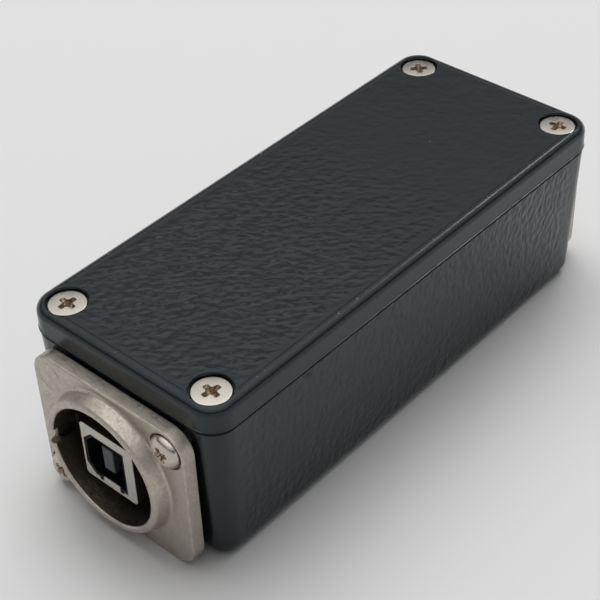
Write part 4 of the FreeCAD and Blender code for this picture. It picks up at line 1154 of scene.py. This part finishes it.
# %% The metal shell
shell_half_x = port_high.x
shell_half_y = (port_high.z - port_low.z) / 2
outer_wall = shell_half_y - 0.3
shell = slab(*corners(shell_half_x, shell_half_y, port_back, port_face), 0.75, 0.16, steps=6)
shell = carved(shell, opening_tool(0.0, port_back - 1, port_face + 1, corner=0.12))
opening_low = opening_y - OPENING_HALF_Y
KEY_LEFT = -1.65
KEY_RIGHT = 1.85
KEY_DEPTH = 0.25
NICK = 0.8


def nicks(top):
    """The two small notches beside the key, up to a height; as deep as they are wide."""
    return [block((left, opening_low - 0.45, port_face - NICK),
                  (left + NICK, opening_low + 0.2, top)) for left in (KEY_LEFT - NICK, KEY_RIGHT)]


for nick in nicks(port_face + 1):
    shell = carved(shell, nick)
key = block((KEY_LEFT, opening_low - 0.22, port_face - KEY_DEPTH),
            (KEY_RIGHT, opening_low + 0.55, port_face - 0.02))
round_edges(key, [e for e in key.edges if all(v.co.y > opening_low for v in e.verts)], 0.1, 2)
shell = carved(shell, key, "UNION")
# The shell's sides, deep inside the collar, take the dark bore finish: painted shade.
for face in shell.faces:
    reach = max(max(abs(v.co.x), abs(v.co.y)) for v in face.verts)
    face.material_index = int(abs(face.normal.z) < 0.5 and reach > outer_wall)
finish_piece(to_front(shell), "usb_port_shell_visual", "case", [port_nickel, bore_stain_and_shade],
             ["usb_port_shell"])

# %% The moulding and its tongue
TONGUE_HALF_X = 1.15
TONGUE_HALF_Y = 2.3
insulator_face = port_face - 0.12
tongue_face = port_face - 0.6
plug_floor = port_back + 4.0
moulding = opening_tool(0.0, port_back, insulator_face)
moulding = carved(moulding, opening_tool(0.5, plug_floor, insulator_face + 1, chamfer=1.5))
tongue = slab(*corners(TONGUE_HALF_X, TONGUE_HALF_Y, plug_floor - 0.5, tongue_face, opening_x,
                       opening_y), 0.12, 0.22, steps=2)
for filler in nicks(insulator_face - 0.03):
    moulding = carved(moulding, filler, "UNION")
key_room = block((KEY_LEFT - 0.02, opening_low - 1.0, port_face - KEY_DEPTH - 0.02),
                 (KEY_RIGHT + 0.02, opening_low + 0.58, port_face + 1))
moulding = carved(moulding, key_room)
moulding = carved(moulding, tongue, "UNION")
for side in (-1, 1):
    for row in (-1.1, 1.1):
        x = opening_x + side * (TONGUE_HALF_X - 0.1)
        groove = block((x - 0.1005, opening_y + row - 0.401, port_back - 0.7),
                       (x + 0.2, opening_y + row + 0.401, tongue_face - 0.999))
        if side < 0:
            mirror = Matrix.Translation((2 * x, 0, 0)) @ Matrix.Scale(-1, 4, (1, 0, 0))
            groove = moved(groove, mirror)
            bmesh.ops.recalc_face_normals(groove, faces=groove.faces)
        moulding = carved(moulding, groove)
for face in moulding.faces:
    centre = face.calc_center_median()
    on_tongue = abs(centre.x - opening_x) < TONGUE_HALF_X + 0.02
    on_tongue = on_tongue and abs(centre.y - opening_y) < TONGUE_HALF_Y + 0.02
    face.material_index = int(on_tongue and centre.z > plug_floor + 0.01)
finish_piece(to_front(moulding), "usb_port_insulator_visual", "case",
             [black_moulding, tongue_moulding], ["usb_port_insulator"])

# %% [markdown]
# ## Finishes for the parts that keep their frame shape
# The body of the case and nearly everything inside it already have their true shapes, so they only
# need a finish. The board needs the most: green lacquer over copper tracks, which show as slightly
# raised, lighter lines, with tinned holes where parts are soldered.

# %% Circuit board
board_finish, tree, shader, place = start_material("circuit board")
wander = noise(tree, place, 0.22, 0.0)
lanes = add_share(tree, math_node(tree, "SNAP", wander, 0.07), 40.0, coordinate(tree, place, 0))
tracks = more_than(tree, math_node(tree, "PINGPONG", lanes, 0.6), 0.36)
zones = add(tree, "TexVoronoi", {"Vector": place, "Scale": 0.16}, distance="CHEBYCHEV")
zone_kind = add(tree, "SeparateColor", {0: zones.outputs["Color"]}).outputs[0]
copper = math_node(tree, "MAXIMUM", tracks, more_than(tree, zone_kind, 0.55))
holes = add(tree, "TexVoronoi", {"Vector": place, "Scale": 0.42, "Randomness": 0.8})
pads = less_than(tree, holes.outputs["Distance"], 0.19)
drill = less_than(tree, holes.outputs["Distance"], 0.09)
colour = mix_colour(tree, copper, (0.006, 0.060, 0.026), (0.015, 0.140, 0.060))
colour = mix_colour(tree, pads, colour, (0.62, 0.62, 0.60))
plug(tree, shader, {
    "Base Color": mix_colour(tree, drill, colour, (0.02, 0.02, 0.02)),
    "Metallic": math_node(tree, "SUBTRACT", pads, drill, clamp=True),
    "Roughness": add_share(tree, pads, 0.08, 0.24),
    "Normal": bump(tree, add_share(tree, pads, 1.5, copper), 0.03),
})

# %% Laminated core: thin steel sheets side by side
core_finish, tree, shader, place = start_material("laminated core")
joints = fade(tree, math_node(tree, "PINGPONG", coordinate(tree, place, 1), 0.175), 0.0, 0.05)
cloud = clouds(tree, place, 1.5, 2.0)
steel = mix_colour(tree, cloud, (0.20, 0.19, 0.19), (0.34, 0.33, 0.33))
plug(tree, shader, {
    "Base Color": mix_colour(tree, joints, (0.04, 0.035, 0.03), steel),
    "Roughness": add_share(tree, cloud, 0.15, 0.35), "Normal": bump(tree, joints, 0.04),
    "Metallic": 0.85,
})

# %% Chip, solder and capacitors
chip_finish = moulded("chip package", (0.020, 0.020, 0.021), (0.032, 0.032, 0.034),
                      rough=0.42, grain_depth=0.008)
solder_finish = plated("solder", (0.62, 0.62, 0.63), (0.42, 0.42, 0.44), rough=0.26,
                       sand_depth=0.01, sand_size=0.6, stain_share=0.5)

can_finish, tree, shader, place = start_material("capacitor can")
can_high = node_box("smoothing_capacitors")[1]
bare_top = more_than(tree, coordinate(tree, place, 2), can_high.z - 0.12)
across = coordinate(tree, place, 0)
cloud = clouds(tree, place, 1.2, 1.6)
sleeve = mix_colour(tree, cloud, (0.010, 0.012, 0.030), (0.018, 0.020, 0.045))
sleeve = mix_colour(tree, more_than(tree, across, can_high.x - 0.55), sleeve, (0.42, 0.42, 0.46))
silver = mix_colour(tree, cloud, (0.62, 0.62, 0.62), (0.74, 0.74, 0.74))
plug(tree, shader, {
    "Base Color": mix_colour(tree, bare_top, sleeve, silver), "Metallic": bare_top,
    "Roughness": add_share(tree, cloud, 0.1, 0.22),
    "Normal": bump(tree, math_node(tree, "PINGPONG", across, 1.0), 0.01),
})

# %% Dress the nodes that stay
dressing = (
    (coat_body, "enclosure_body"),
    (black_moulding, "usb_insert_carrier output_insert internal_plug_grip"),
    (white_moulding, "usb_rear_port_tongue internal_plug_block output_header lead_header"),
    (nylon, "board_spacers transformer_bobbin"),
    (gold_plate, "usb_port_contacts"),
    (silver_plate, "output_pins"),
    (tin_plate, "usb_rear_port_shell internal_plug_shell crystal_can"),
    (solder_finish, "solder_joints"),
    (board_finish, "circuit_board"),
    (core_finish, "transformer_core"),
    (winding_tape, "transformer_winding"),
    (chip_finish, "audio_chip chip_resistors"),
    (can_finish, "smoothing_capacitors"),
    (film_box, "film_capacitors"),
    (lead_jacket, "internal_lead"),
    (wire_red, "hot_wire"),
    (wire_white, "cold_wire"),
    (wire_black, "ground_wire"),
)
for finish, nodes in dressing:
    for node in nodes.split():
        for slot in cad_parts[node].material_slots:
            slot.material = finish
print(sum(len(nodes.split()) for finish, nodes in dressing), "nodes dressed,",
      len(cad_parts), "in all")
